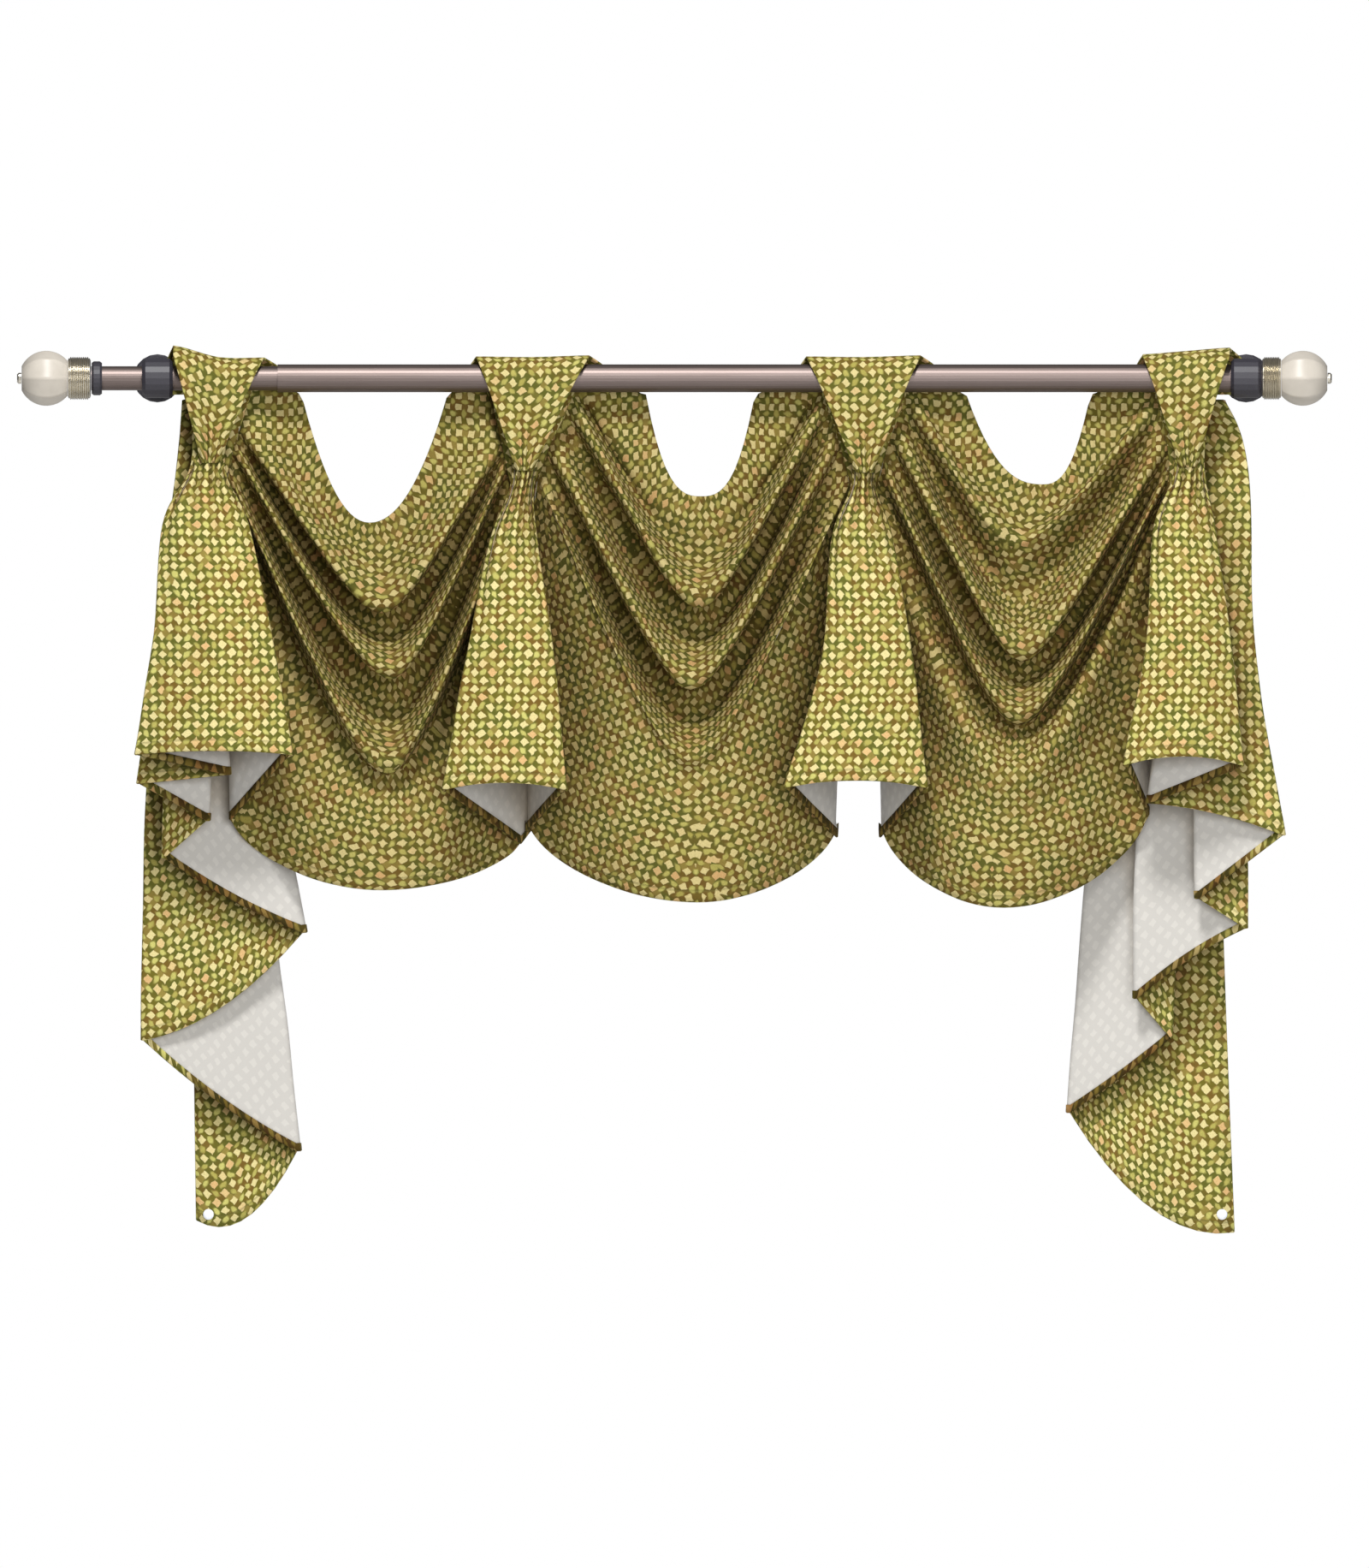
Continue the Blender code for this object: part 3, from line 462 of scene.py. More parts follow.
class Bands(Patch):
    """A patch whose print runs true along and across each of its bands. The bands, rows (first,
    anchor, last), meet in the deep tucks, where the print jumps unseen."""

    def __init__(self, columns, centre, bands):
        self.columns = columns
        self.band_of = []
        self.marks = []
        for number, (first, anchor, last) in enumerate(bands):
            self.band_of += [number] * (last - first)
            self.marks.append(self.band_marks(first, anchor, last, centre, BAND_SHIFT * number))
        self.band_of.append(len(bands) - 1)

    def band_marks(self, first, anchor, last, centre, start):
        """The cloth coordinates of a band, rolled off row by row from its anchor row."""
        columns = self.columns
        reached = lengths([column[anchor] for column in columns])
        marks = {anchor: [(value - reached[centre], start) for value in reached]}
        for step, end in ((1, last), (-1, first)):
            for row in range(anchor, end, step):
                marks[row + step] = []
                for number, column in enumerate(columns):
                    ahead = columns[min(number + 1, len(columns) - 1)][row]
                    behind = columns[max(number - 1, 0)][row]
                    tangent = (ahead - behind).normalized()
                    move = column[row + step] - column[row]
                    along_row = move.dot(tangent)
                    beside = (move - tangent * along_row).length
                    across, down = marks[row][number]
                    marks[row + step].append((across + along_row, down + step * beside))
        return self.keep_lengths(marks, first, last)

    def keep_lengths(self, marks, first, last):
        """Moves the marks of a band until its edges are printed as long as they are in space."""
        rows = range(first, last + 1)
        points = numpy.array([[tuple(column[row]) for column in self.columns] for row in rows])
        print_at = numpy.array([marks[row] for row in rows])
        edges = [(EVERY, EARLIER, EVERY, LATER), (EARLIER, EVERY, LATER, EVERY)]
        edges += [(EARLIER, EARLIER, LATER, LATER), (EARLIER, LATER, LATER, EARLIER)]
        true = [numpy.linalg.norm(points[a, b] - points[c, d], axis=2) for a, b, c, d in edges]
        speed = numpy.zeros_like(print_at)
        for _ in range(PRINT_ROUNDS):
            moves = numpy.zeros_like(print_at)
            meeting = numpy.zeros(print_at.shape[:2])
            for (a, b, c, d), length in zip(edges, true):
                gap = print_at[c, d] - print_at[a, b]
                printed = numpy.maximum(numpy.linalg.norm(gap, axis=2), SHORTEST)
                share = 0.5 * (1.0 - length / printed)
                moves[a, b] += gap * share[:, :, None]
                moves[c, d] -= gap * share[:, :, None]
                meeting[a, b] += 1.0
                meeting[c, d] += 1.0
            speed = PRINT_SWING * speed + moves / meeting[:, :, None]
            print_at += speed
        return {row: [tuple(mark) for mark in found] for row, found in zip(rows, print_at.tolist())}

    def mark(self, number, row, face_row):
        return self.marks[self.band_of[face_row]][row][number]


class Cloth:
    """A mesh made of patches. A patch whose first column is the last one's last shares its points."""

    def __init__(self):
        self.points = []
        self.faces = []
        self.corners = []
        self.columns = []
        self.between_horns = []
        self.last_points = None
        self.last_ids = None
        self.last_marks = None

    def ids_of(self, column):
        start = len(self.points)
        self.points.extend(column)
        ids = list(range(start, start + len(column)))
        self.columns.append(ids)
        return ids

    def add(self, patch):
        start = len(self.points)
        if self.last_points is not None and patch.columns[0] is self.last_points:
            ids = self.last_ids
        else:
            ids = self.ids_of(patch.columns[0])
            if self.last_ids is not None:
                self.zip_together(self.last_ids, self.last_marks, ids)
        for number in range(1, len(patch.columns)):
            following = self.ids_of(patch.columns[number])
            self.strip(patch, number, ids, following)
            ids = following
        if isinstance(patch, Bands):
            self.between_horns += range(start, len(self.points))
        self.last_points = patch.columns[-1]
        self.last_ids = ids
        last = len(patch.columns) - 1
        self.last_marks = [patch.mark(last, row, row) for row in range(len(ids))]

    def strip(self, patch, number, left, right):
        """The faces between a patch's column number - 1 and its column number."""
        for row in range(len(left) - 1):
            self.faces.append((left[row], left[row + 1], right[row + 1], right[row]))
            places = ((number - 1, row), (number - 1, row + 1), (number, row + 1), (number, row))
            self.corners.append(tuple(patch.mark(column, point_row, row) for column, point_row in places))

    def zip_together(self, left, left_marks, right):
        """Joins two columns that need not have as many points; the cloth coordinates run on."""
        i = j = 0
        while i < len(left) - 1 or j < len(right) - 1:
            gap = (self.points[left[i]] - self.points[right[j]]).length
            beside = (left_marks[i][0] + gap, left_marks[i][1])
            go_left = j == len(right) - 1 or (
                i < len(left) - 1
                and (self.points[left[i + 1]] - self.points[right[j]]).length
                <= (self.points[left[i]] - self.points[right[j + 1]]).length
            )
            if go_left:
                self.faces.append((left[i], left[i + 1], right[j]))
                self.corners.append((left_marks[i], left_marks[i + 1], beside))
                i += 1
            else:
                step = (self.points[right[j + 1]] - self.points[right[j]]).length
                below = (beside[0], beside[1] + step)
                self.faces.append((left[i], right[j + 1], right[j]))
                self.corners.append((left_marks[i], below, beside))
                j += 1


# The folds' relief beyond the solid's: greatest between the middle and the gather, where the curve
# of the two powers, times RELIEF_CURVE, reaches 1
RELIEF = 7.8
RELIEF_OF = {"crown": -1.0, "nose": -0.8, "tuck": 0.8, "valley": 1.0}
RELIEF_CURVE = 2.75
RELIEF_RISE = 0.9
RELIEF_FALL = 0.6


def relief_at(name, sideways):
    """How far back a row lies, beyond the solid's own folds, on its way to the gather."""
    share = RELIEF_OF.get(name.split("_")[0], 0.0)
    rise = sideways**RELIEF_RISE
    return share * RELIEF * RELIEF_CURVE * rise * max(1.0 - sideways, 0.0) ** RELIEF_FALL


BELLY = 20.0
BELLY_WAVES = 0.74
BELLY_END_POWER = 6


def belly_at(rows, number, across):
    """How far back a row below the last fold lies: the cloth comes forward in the middle and goes
    back on both sides of it, more so towards the hem."""
    folds = [place for place, row in enumerate(rows) if row[0].startswith("nose")]
    if not folds or number <= folds[-1]:
        return 0.0
    share = (number - folds[-1]) / (len(rows) - 1 - folds[-1])
    wave = math.cos(2.0 * math.pi * BELLY_WAVES * across)
    return -BELLY * share * wave * (1.0 - across**BELLY_END_POWER)


def swag_patch(swag):
    """A swag's surface in fine rows and columns through the points of the part's own rows."""
    steps = [step / SWAG_STEPS for step in range(SWAG_STEPS + 1)]
    places_across = [(-1, s) for s in reversed(steps)] + [(1, s) for s in steps[1:]]
    rows = []
    for number, row in enumerate(SWAGS[swag]):
        points = []
        for side, sideways in places_across:
            point = swag_row_point(swag, row, SWAG_SIDES[swag][0 if side < 0 else 1], side, sideways)
            point.y += relief_at(row[0], sideways) + belly_at(SWAGS[swag], number, side * sideways)
            points.append(point)
        rows.append(points)
    places = [place / SWAG_SUBROWS for place in range((len(rows) - 1) * SWAG_SUBROWS + 1)]
    columns = []
    for number in range(len(rows[0])):
        levels = [row[number] for row in rows]
        columns.append([keep_behind_rod(along(levels, place)) for place in places])
    return Bands(columns, SWAG_STEPS, swag_bands(SWAGS[swag]))


def swag_bands(rows):
    """(first, anchor, last) fine rows of each band between the rows that lie deepest under a ridge."""
    names = [row[0] for row in rows]
    ends = [0]
    for number, name in enumerate(names):
        after_nose = number > 0 and names[number - 1].startswith("nose")
        if name.startswith("tuck") or (name.startswith("valley") and after_nose):
            ends.append(number)
    ends.append(len(names) - 1)
    bands = []
    for first, last in zip(ends, ends[1:]):
        anchor = last if names[last] == "hem" else last - 1
        bands.append((first * SWAG_SUBROWS, anchor * SWAG_SUBROWS, last * SWAG_SUBROWS))
    return bands


PLEATS = 4.5
PLEAT_DEPTH = 3.4
# Where the pleats begin and die away, as rows down the horn: from, and over how far
PLEATS_BEGIN = (0.8, 0.35)
PLEATS_END = (1.4, 1.9)
# How much their widths differ, how often that changes, and how sharp they are (1 is a plain wave)
PLEATS_DIFFER = 0.06
PLEATS_CHANGE = 9.0
PLEAT_POWER = 0.7


def pleat(across, row):
    """Small pleats that fan out under the gather and die away down the horn."""
    begun = smooth((row - PLEATS_BEGIN[0]) / PLEATS_BEGIN[1])
    ended = smooth((row - PLEATS_END[0]) / PLEATS_END[1])
    depth = PLEAT_DEPTH * begun * (1.0 - ended)
    moved = across + PLEATS_DIFFER * math.sin(PLEATS_CHANGE * across)
    wave = abs(math.cos(math.pi * PLEATS * moved))
    return depth * (2.0 * wave**PLEAT_POWER - 1.0)


def turn_points(back, edge, outward):
    """The points of a rounded fold from the back layer to the front one."""
    middle = (back + edge) * 0.5
    half = (edge - back) * 0.5
    bulge = Vector((outward, 0.0, 0.0)) * half.length * TURN_BULGE
    found = []
    for step in range(1, TURN_STEPS):
        angle = math.pi * step / TURN_STEPS
        found.append(middle - half * math.cos(angle) + bulge * math.sin(angle))
    return found


# A horn's left fold that goes on behind its neighbour: how far beside, behind and above
TUCKED = {"horn_2": (13.0, 8.0, 16.0)}
# How much higher a horn's right fold ends
TRIMMED = {"horn_2": 11.0}
HORN_STATIONS = (
    "fold_left", "back_left", "edge_left", "front_left", "front",
    "front_right", "edge_right", "back_right", "fold_right",
)


def horn_line(horn, row):
    """Points across a horn at one row, in named sections."""
    at = {name: horn_point(horn, name, row) for name in HORN_STATIONS}
    for side, outward in (("left", -1.0), ("right", 1.0)):
        back, edge = at["back_" + side], at["edge_" + side]
        inset = Vector((-outward * (edge - back).length * 0.5 * TURN_BULGE, 0.0, 0.0))
        if (edge.x - back.x) * outward < 0.0:
            back += inset
    levels = [at[name] for name in HORN_STATIONS[2:-2]]
    front = [along(levels, (len(levels) - 1.0) * step / FRONT_STEPS) for step in range(FRONT_STEPS + 1)]
    for step in range(1, FRONT_STEPS):
        front[step].y -= pleat(step / FRONT_STEPS, row)
    down = smooth(row / HORN_ROWS[-1])
    if horn in TRIMMED:
        at["fold_right"].z += TRIMMED[horn] * down
    shares = [step / PANEL_STEPS for step in range(PANEL_STEPS + 1)]
    panel_left = [mix(at["fold_left"], at["back_left"], share) for share in shares]
    if horn in TUCKED:
        beside, behind, above = TUCKED[horn]
        tucked = at["fold_left"] + Vector((beside * down, behind, above * down))
        panel_left = [tucked, mix(tucked, at["fold_left"], 0.5)] + panel_left
    panel_right = [mix(at["back_right"], at["fold_right"], share) for share in shares]
    turn_left = turn_points(at["back_left"], at["edge_left"], -1.0)
    turn_right = list(reversed(turn_points(at["back_right"], at["edge_right"], 1.0)))
    return panel_left, turn_left, front, turn_right, panel_right


def horn_sections(horn):
    """The sections of a horn's lines as columns, which run down the horn."""
    lines = [horn_line(horn, row) for row in HORN_ROWS_FINE]
    return [[list(column) for column in zip(*section)] for section in zip(*lines)]


def horn_patches(horn, with_left=True, with_right=True):
    """The inner panels and the front of a horn, left to right."""
    panel_left, turn_left, front, turn_right, panel_right = horn_sections(horn)
    half = len(turn_left) // 2
    patches = []
    if with_left:
        left = panel_left + turn_left[:half]
        patches.append(Patch(left, len(left) // 2, PANEL_OWN_DOWN))
        start = [left[-1]] + turn_left[half:]
    else:
        start = [panel_left[-1]] + turn_left
    if with_right:
        end = turn_right[:half + 1]
    else:
        end = turn_right + [panel_right[0]]
    whole = start + front + end
    patches.append(Patch(whole, len(start) + FRONT_STEPS // 2, FRONT_OWN_DOWN))
    if with_right:
        right = [whole[-1]] + turn_right[half + 1:] + panel_right
        patches.append(Patch(right, len(right) // 2, PANEL_OWN_DOWN))
    return patches


# A panel's sag grows with this power of the way down to the hem
SAG_POWER = 3


def tail_patches(tail, joined):
    """The panels of a tail from the horn's back edge (joined) to its end, each with half of its folds."""
    last = len(TAILS[tail]) - 1
    shift = TURN_BULGE * FOLD_HALF_TURN
    patches = []
    start = [joined]
    origin = joined
    for number, fold in enumerate(TAILS[tail]):
        front = fold_path(tail, number, -FOLD_HALF_TURN if number < last else 0.0)
        outward = 1.0 if front[-1].x > origin[-1].x else -1.0
        if number < last:
            for point in front:
                point.x -= outward * shift
        panel = []
        sag = fold[FOLD_COLUMNS.index("sag")]
        for step in range(1, PANEL_STEPS + 1):
            share = step / PANEL_STEPS
            column = [mix(a, b, share) for a, b in zip(origin, front)]
            for row, point in zip(TAIL_ROWS_FINE, column):
                point.z -= 4.0 * share * (1.0 - share) * sag * (row / TAIL_ROWS[-1]) ** SAG_POWER
            panel.append(column)
        if number == last:
            columns = start + panel
            patches.append(Patch(columns, len(columns) // 2, PANEL_OWN_DOWN))
            break
        back = fold_path(tail, number, FOLD_HALF_TURN)
        for point in back:
            point.x -= outward * shift
        turn = [list(column) for column in zip(*(turn_points(a, b, outward) for a, b in zip(front, back)))]
        half = len(turn) // 2
        columns = start + panel + turn[:half]
        patches.append(Patch(columns, len(columns) // 2, PANEL_OWN_DOWN))
        start = [columns[-1]] + turn[half:] + [back]
        origin = back
    return patches


def mirrored(patches):
    """The same patches run the other way."""
    found = []
    for patch in reversed(patches):
        patch.columns.reverse()
        patch.across = [[-value for value in column] for column in reversed(patch.across)]
        patch.down.reverse()
        found.append(patch)
    return found


def whole_cloth():
    """The face cloth from left to right: tail, horns with the swags between them, tail."""
    horn_1 = horn_patches("horn_1", with_left=False)
    horn_4 = horn_patches("horn_4", with_right=False)
    patches = mirrored(tail_patches("tail_left", horn_1[0].columns[0])) + horn_1 + [swag_patch("swag_1")]
    patches += horn_patches("horn_2") + [swag_patch("swag_2")]
    patches += horn_patches("horn_3") + [swag_patch("swag_3")]
    patches += horn_4 + tail_patches("tail_right", horn_4[-1].columns[-1])
    cloth = Cloth()
    for patch in patches:
        cloth.add(patch)
    return cloth


RIPPLE = 1.3
RIPPLE_WIDTHS = (38.0, 60.0, 75.0)


def ripple(point):
    """The small unevenness of hanging cloth, in millimetres along its normal."""
    return RIPPLE * noise.noise(Vector([value / width for value, width in zip(point, RIPPLE_WIDTHS)]))


def cloth_normals(cloth):
    """The direction that each point of the cloth faces, from the areas of its faces."""
    normals = [Vector((0.0, 0.0, 0.0)) for point in cloth.points]
    for face in cloth.faces:
        a, b, c = (cloth.points[face[k]] for k in (0, 1, 2))
        area = (b - a).cross(c - a)
        if len(face) == 4:
            d = cloth.points[face[3]]
            area += (c - a).cross(d - a)
        for number in face:
            normals[number] += area
    return [normal.normalized() for normal in normals]


# Room for the lining: how far off the cloth a ray starts, how far it looks as a multiple of the
# lining's depth, the free share where the lining starts to be full and over how far it grows, and
# the least that is left of it
RAY_START = 0.05
ROOM_REACH = 2.5
ROOM_FROM = 0.35
ROOM_GROWS = 0.5
ROOM_LEAST = 0.06


def room_behind(points, faces, normals):
    """For each point, how much of the lining's room is free behind it: 1 is all, 0 none."""
    reach = LINING_FROM + LINING_THICKNESS
    tree = BVHTree.FromPolygons(points, faces)
    room = []
    for point, normal in zip(points, normals):
        found = tree.ray_cast(point - normal * RAY_START, -normal, ROOM_REACH * reach)[3]
        near = tree.find_nearest(point - normal * reach)[3]
        free = 1.0 if found is None else found / (ROOM_REACH * reach)
        room.append(min(free, near / reach))
    # Two rounds take the least of the neighbours' room, and two more the mean
    for low in (True, True, False, False):
        spread = list(room)
        counts = [1] * len(room)
        for face in faces:
            for a, b in zip(face, face[1:] + face[:1]):
                if low:
                    spread[a] = min(spread[a], room[b])
                    spread[b] = min(spread[b], room[a])
                else:
                    spread[a] += room[b]
                    spread[b] += room[a]
                    counts[a] += 1
                    counts[b] += 1
        room = [value / count for value, count in zip(spread, counts)]
    return [min(max(smooth((value - ROOM_FROM) / ROOM_GROWS), ROOM_LEAST), 1.0) for value in room]


# The lining is drawn closer in steps of ROOM_STEP until it clears the cloth or reaches SMALLEST_ROOM,
# and so are its neighbours, for FITTED_AROUND rounds
SMALLEST_ROOM = 0.04
LINING_CLEARANCE = 0.12
ROOM_STEP = 0.6
FITTED_AROUND = 2


def fitted_room(points, faces, normals, room):
    """The room of each point, less where the lining would come through the cloth in a tight fold."""
    tree = BVHTree.FromPolygons(points, faces)

    def comes_through(place):
        nearest, facing = tree.find_nearest(place)[:2]
        return (place - nearest).dot(facing) > -LINING_CLEARANCE

    found = []
    for point, normal, free in zip(points, normals, room):
        share = free
        while share > SMALLEST_ROOM and any(
            comes_through(point - normal * depth * share)
            for depth in (LINING_FROM, LINING_FROM + LINING_THICKNESS)
        ):
            share *= ROOM_STEP
        found.append(share)
    for _ in range(FITTED_AROUND):
        fitted = list(found)
        for face in faces:
            for a, b in zip(face, face[1:] + face[:1]):
                fitted[a] = min(fitted[a], found[b])
                fitted[b] = min(fitted[b], found[a])
        found = fitted
    return found


# A face of the swags that faces back more than this lies in a curl
CURLED = 0.7


def without_curls(points, faces, corners, swag_points):
    """The faces and corners without the swags' narrow curls at the crests, which would show the
    lining from the front."""
    kept = []
    for place, face in enumerate(faces):
        across = points[face[-1]] - points[face[0]]
        down = points[face[1]] - points[face[0]]
        curled = down.cross(across).normalized().y > CURLED
        if not (curled and swag_points.issuperset(face)):
            kept.append(place)
    return [faces[place] for place in kept], [corners[place] for place in kept]


# How far a ray looks for the open room, how many there are, how far off the cloth they start, and
# how squarely one has to leave it to count
SKY_REACH = 230.0
SKY_RAYS = 56
SKY_START = 0.4
SKY_LEAST = 0.12
GOLDEN_ANGLE = 2.399963


def sky_directions():
    """Directions spread evenly over a ball."""
    found = []
    for number in range(SKY_RAYS):
        height = 1.0 - 2.0 * (number + 0.5) / SKY_RAYS
        angle = GOLDEN_ANGLE * number
        flat = math.sqrt(1.0 - height * height)
        found.append(Vector((flat * math.cos(angle), flat * math.sin(angle), height)))
    return found


def open_sky(points, faces, normals, side):
    """For each point, how open the room in front of it is: 1 on a free slope, 0 deep in a fold.
    A side of -1 looks behind the sheet."""
    tree = BVHTree.FromPolygons(points, faces)
    directions = sky_directions()
    found = []
    for point, normal in zip(points, normals):
        facing = normal * side
        start = point + facing * SKY_START
        total = 0.0
        free = 0.0
        for direction in directions:
            weight = direction.dot(facing)
            if weight < SKY_LEAST:
                continue
            total += weight
            hit = tree.ray_cast(start, direction, SKY_REACH)[3]
            free += weight if hit is None else weight * hit / SKY_REACH
        found.append(free / total)
    return found


def hem_heights(cloth):
    """Distance of each point from the hem, along its column."""
    heights = [0.0] * len(cloth.points)
    for column in cloth.columns:
        reached = lengths([cloth.points[number] for number in column])
        for number, value in zip(column, reached):
            heights[number] = reached[-1] - value
    return heights


def add_object(data):
    """An object of its data's name, in the scene."""
    obj = bpy.data.objects.new(data.name, data)
    bpy.context.collection.objects.link(obj)
    return obj


def add_mesh(name, points, faces, corners, heights, sky, material):
    """A sheet with two sets of coordinates: the print's lattice, which runs at 45 degrees to the
    cloth, and for its edges and shade the open room and the distance from the hem."""
    mesh = bpy.data.meshes.new(name)
    mesh.from_pydata([point * MM for point in points], [], faces)
    weave = mesh.uv_layers.new(name="weave")
    edge = mesh.uv_layers.new(name="edge")
    place = 0
    for face, marks in zip(faces, corners):
        for number, (across, down) in zip(face, marks):
            diagonals = (across + down, down - across)
            weave.data[place].uv = [diagonal / math.sqrt(2) / CELL for diagonal in diagonals]
            edge.data[place].uv = (sky[number], heights[number])
            place += 1
    mesh.materials.append(material)
    mesh.shade_smooth()
    return add_object(mesh)


def thicken(obj, thickness, room=None):
    """Gives a sheet its thickness, less where it has little room: a share for each of its points."""
    solidify = obj.modifiers.new("thickness", "SOLIDIFY")
    solidify.thickness = thickness * MM
    solidify.offset = -1.0
    solidify.use_even_offset = False
    if room is not None:
        group = obj.vertex_groups.new(name="room")
        for number, value in enumerate(room):
            group.add([number], value, "REPLACE")
        solidify.vertex_group = group.name


# An edge goes round the lining: (inward, behind) of its lines, and of a third where it is turned up
EDGE_LINES = ((-0.6, 1.25), (0.3, 2.5))
EDGE_TURNED_UP = (7.0, 2.7)
# The distance from the hem that marks turned cloth, where no seam shows, and the print's step there
TURNED_HEIGHT = -2.0
TURNED_PRINT_STEP = 3.0


def turned_edges(cloth, normals, heights, sky):
    """Face cloth that goes round the lining at every edge, and up behind it at the hem and ends."""
    points = list(cloth.points)
    faces = list(cloth.faces)
    corners = list(cloth.corners)
    new_heights = list(heights)
    new_sky = list(sky)
    mark_of = {}
    for face, marks in zip(cloth.faces, cloth.corners):
        for number, mark in zip(face, marks):
            mark_of.setdefault(number, mark)

    def add_line(edge, inner, turned_up):
        """Two or three more lines of points along an edge; inner has the points one step in from it."""
        found = []
        ways = EDGE_LINES + (EDGE_TURNED_UP,) if turned_up else EDGE_LINES
        for number, inside in zip(edge, inner):
            point = cloth.points[number]
            inward = (cloth.points[inside] - point).normalized()
            line = [number]
            for distance, behind in ways:
                line.append(len(points))
                points.append(point + inward * distance - normals[number] * behind)
                new_heights.append(TURNED_HEIGHT)
                new_sky.append(sky[number])
            found.append(line)
        for left, right in zip(found, found[1:]):
            for step in range(len(left) - 1):
                corner_marks = []
                for line, place in ((left, step), (left, step + 1), (right, step + 1), (right, step)):
                    across, down = mark_of[line[0]]
                    corner_marks.append((across, down + TURNED_PRINT_STEP * place))
                faces.append((left[step], left[step + 1], right[step + 1], right[step]))
                corners.append(tuple(corner_marks))

    columns = cloth.columns
    add_line([column[-1] for column in columns], [column[-2] for column in columns], True)
    add_line([column[0] for column in columns[::-1]], [column[1] for column in columns[::-1]], False)
    add_line(columns[0], columns[1], True)
    add_line(columns[-1][::-1], columns[-2][::-1], True)
    return points, faces, corners, new_heights, new_sky


def srgb(red, green, blue):
    """A colour given from 0 to 255 as it looks, in the linear values that shaders take. The numbers
    in it are those of the standard that defines how such colours look."""
    found = []
    for value in (red, green, blue):
        share = value / 255.0
        found.append(share / 12.92 if share <= 0.04045 else ((share + 0.055) / 1.055) ** 2.4)
    return (*found, 1.0)


class Nodes:
    """Short ways to add nodes to a material."""

    def __init__(self, name):
        self.material = bpy.data.materials.new(name)
        self.material.use_nodes = True
        self.tree = self.material.node_tree
        self.shader = self.tree.nodes["Principled BSDF"]

    def add(self, kind, **settings):
        node = self.tree.nodes.new(kind)
        for name, value in settings.items():
            setattr(node, name, value)
        return node

    def link(self, source, target):
        self.tree.links.new(source, target)

    def math(self, operation, a, b=None, c=None, clamp=False):
        node = self.add("ShaderNodeMath", operation=operation, use_clamp=clamp)
        for place, value in enumerate((a, b, c)):
            if value is None:
                continue
            if isinstance(value, (int, float)):
                node.inputs[place].default_value = value
            else:
                self.link(value, node.inputs[place])
        return node.outputs[0]

    def step(self, value, low, high):
        node = self.add("ShaderNodeMapRange", interpolation_type="SMOOTHSTEP")
        self.link(value, node.inputs["Value"])
        node.inputs["From Min"].default_value = low
        node.inputs["From Max"].default_value = high
        return node.outputs["Result"]

    def mix(self, share, first, second, blend="MIX"):
        node = self.add("ShaderNodeMix", data_type="RGBA", blend_type=blend)
        for name, value in (("Factor", share), ("A", first), ("B", second)):
            if isinstance(value, (int, float, tuple)):
                node.inputs[name].default_value = value
            else:
                self.link(value, node.inputs[name])
        return node.outputs["Result"]

    def noise(self, vector, scale, detail=2.0, roughness=0.5, dimensions="3D"):
        node = self.add("ShaderNodeTexNoise", noise_dimensions=dimensions)
        if vector is not None:
            self.link(vector, node.inputs["Vector"])
        node.inputs["Scale"].default_value = scale
        node.inputs["Detail"].default_value = detail
        node.inputs["Roughness"].default_value = roughness
        return node.outputs[0]

    def bump(self, height, strength, distance, before=None):
        node = self.add("ShaderNodeBump")
        node.inputs["Strength"].default_value = strength
        node.inputs["Distance"].default_value = distance
        self.link(height, node.inputs["Height"])
        if before is not None:
            self.link(before, node.inputs["Normal"])
        return node.outputs["Normal"]

    def finish(self, colour=None, normal=None, **values):
        if colour is not None:
            self.link(colour, self.shader.inputs["Base Color"])
        if normal is not None:
            self.link(normal, self.shader.inputs["Normal"])
        for name, value in values.items():
            self.shader.inputs[name.replace("_", " ")].default_value = value
        return self.material


# The print's unevenness, in cells: noise scale and how far it moves the lattice
WOBBLES = ((0.22, 0.9), (1.1, 0.42))
# Where the edges of the printed shapes begin and end on their waves
SQUARE_EDGE = (-0.22, 0.12)
OVAL_EDGE = (0.16, 0.72)
LEANING_EDGE = (-0.1, 0.1)
# How fast an oval ends along it and across it
OVAL_LONG = 0.34
OVAL_SHORT = 0.62
SHADE_POWER = 1.6
# The seam of the hem: its distance from the edge, its line's edge on both sides, and its strength
SEAM_AT = 9.5
SEAM_EDGE = (0.5, 1.5)
SEAM_TINT = 0.35


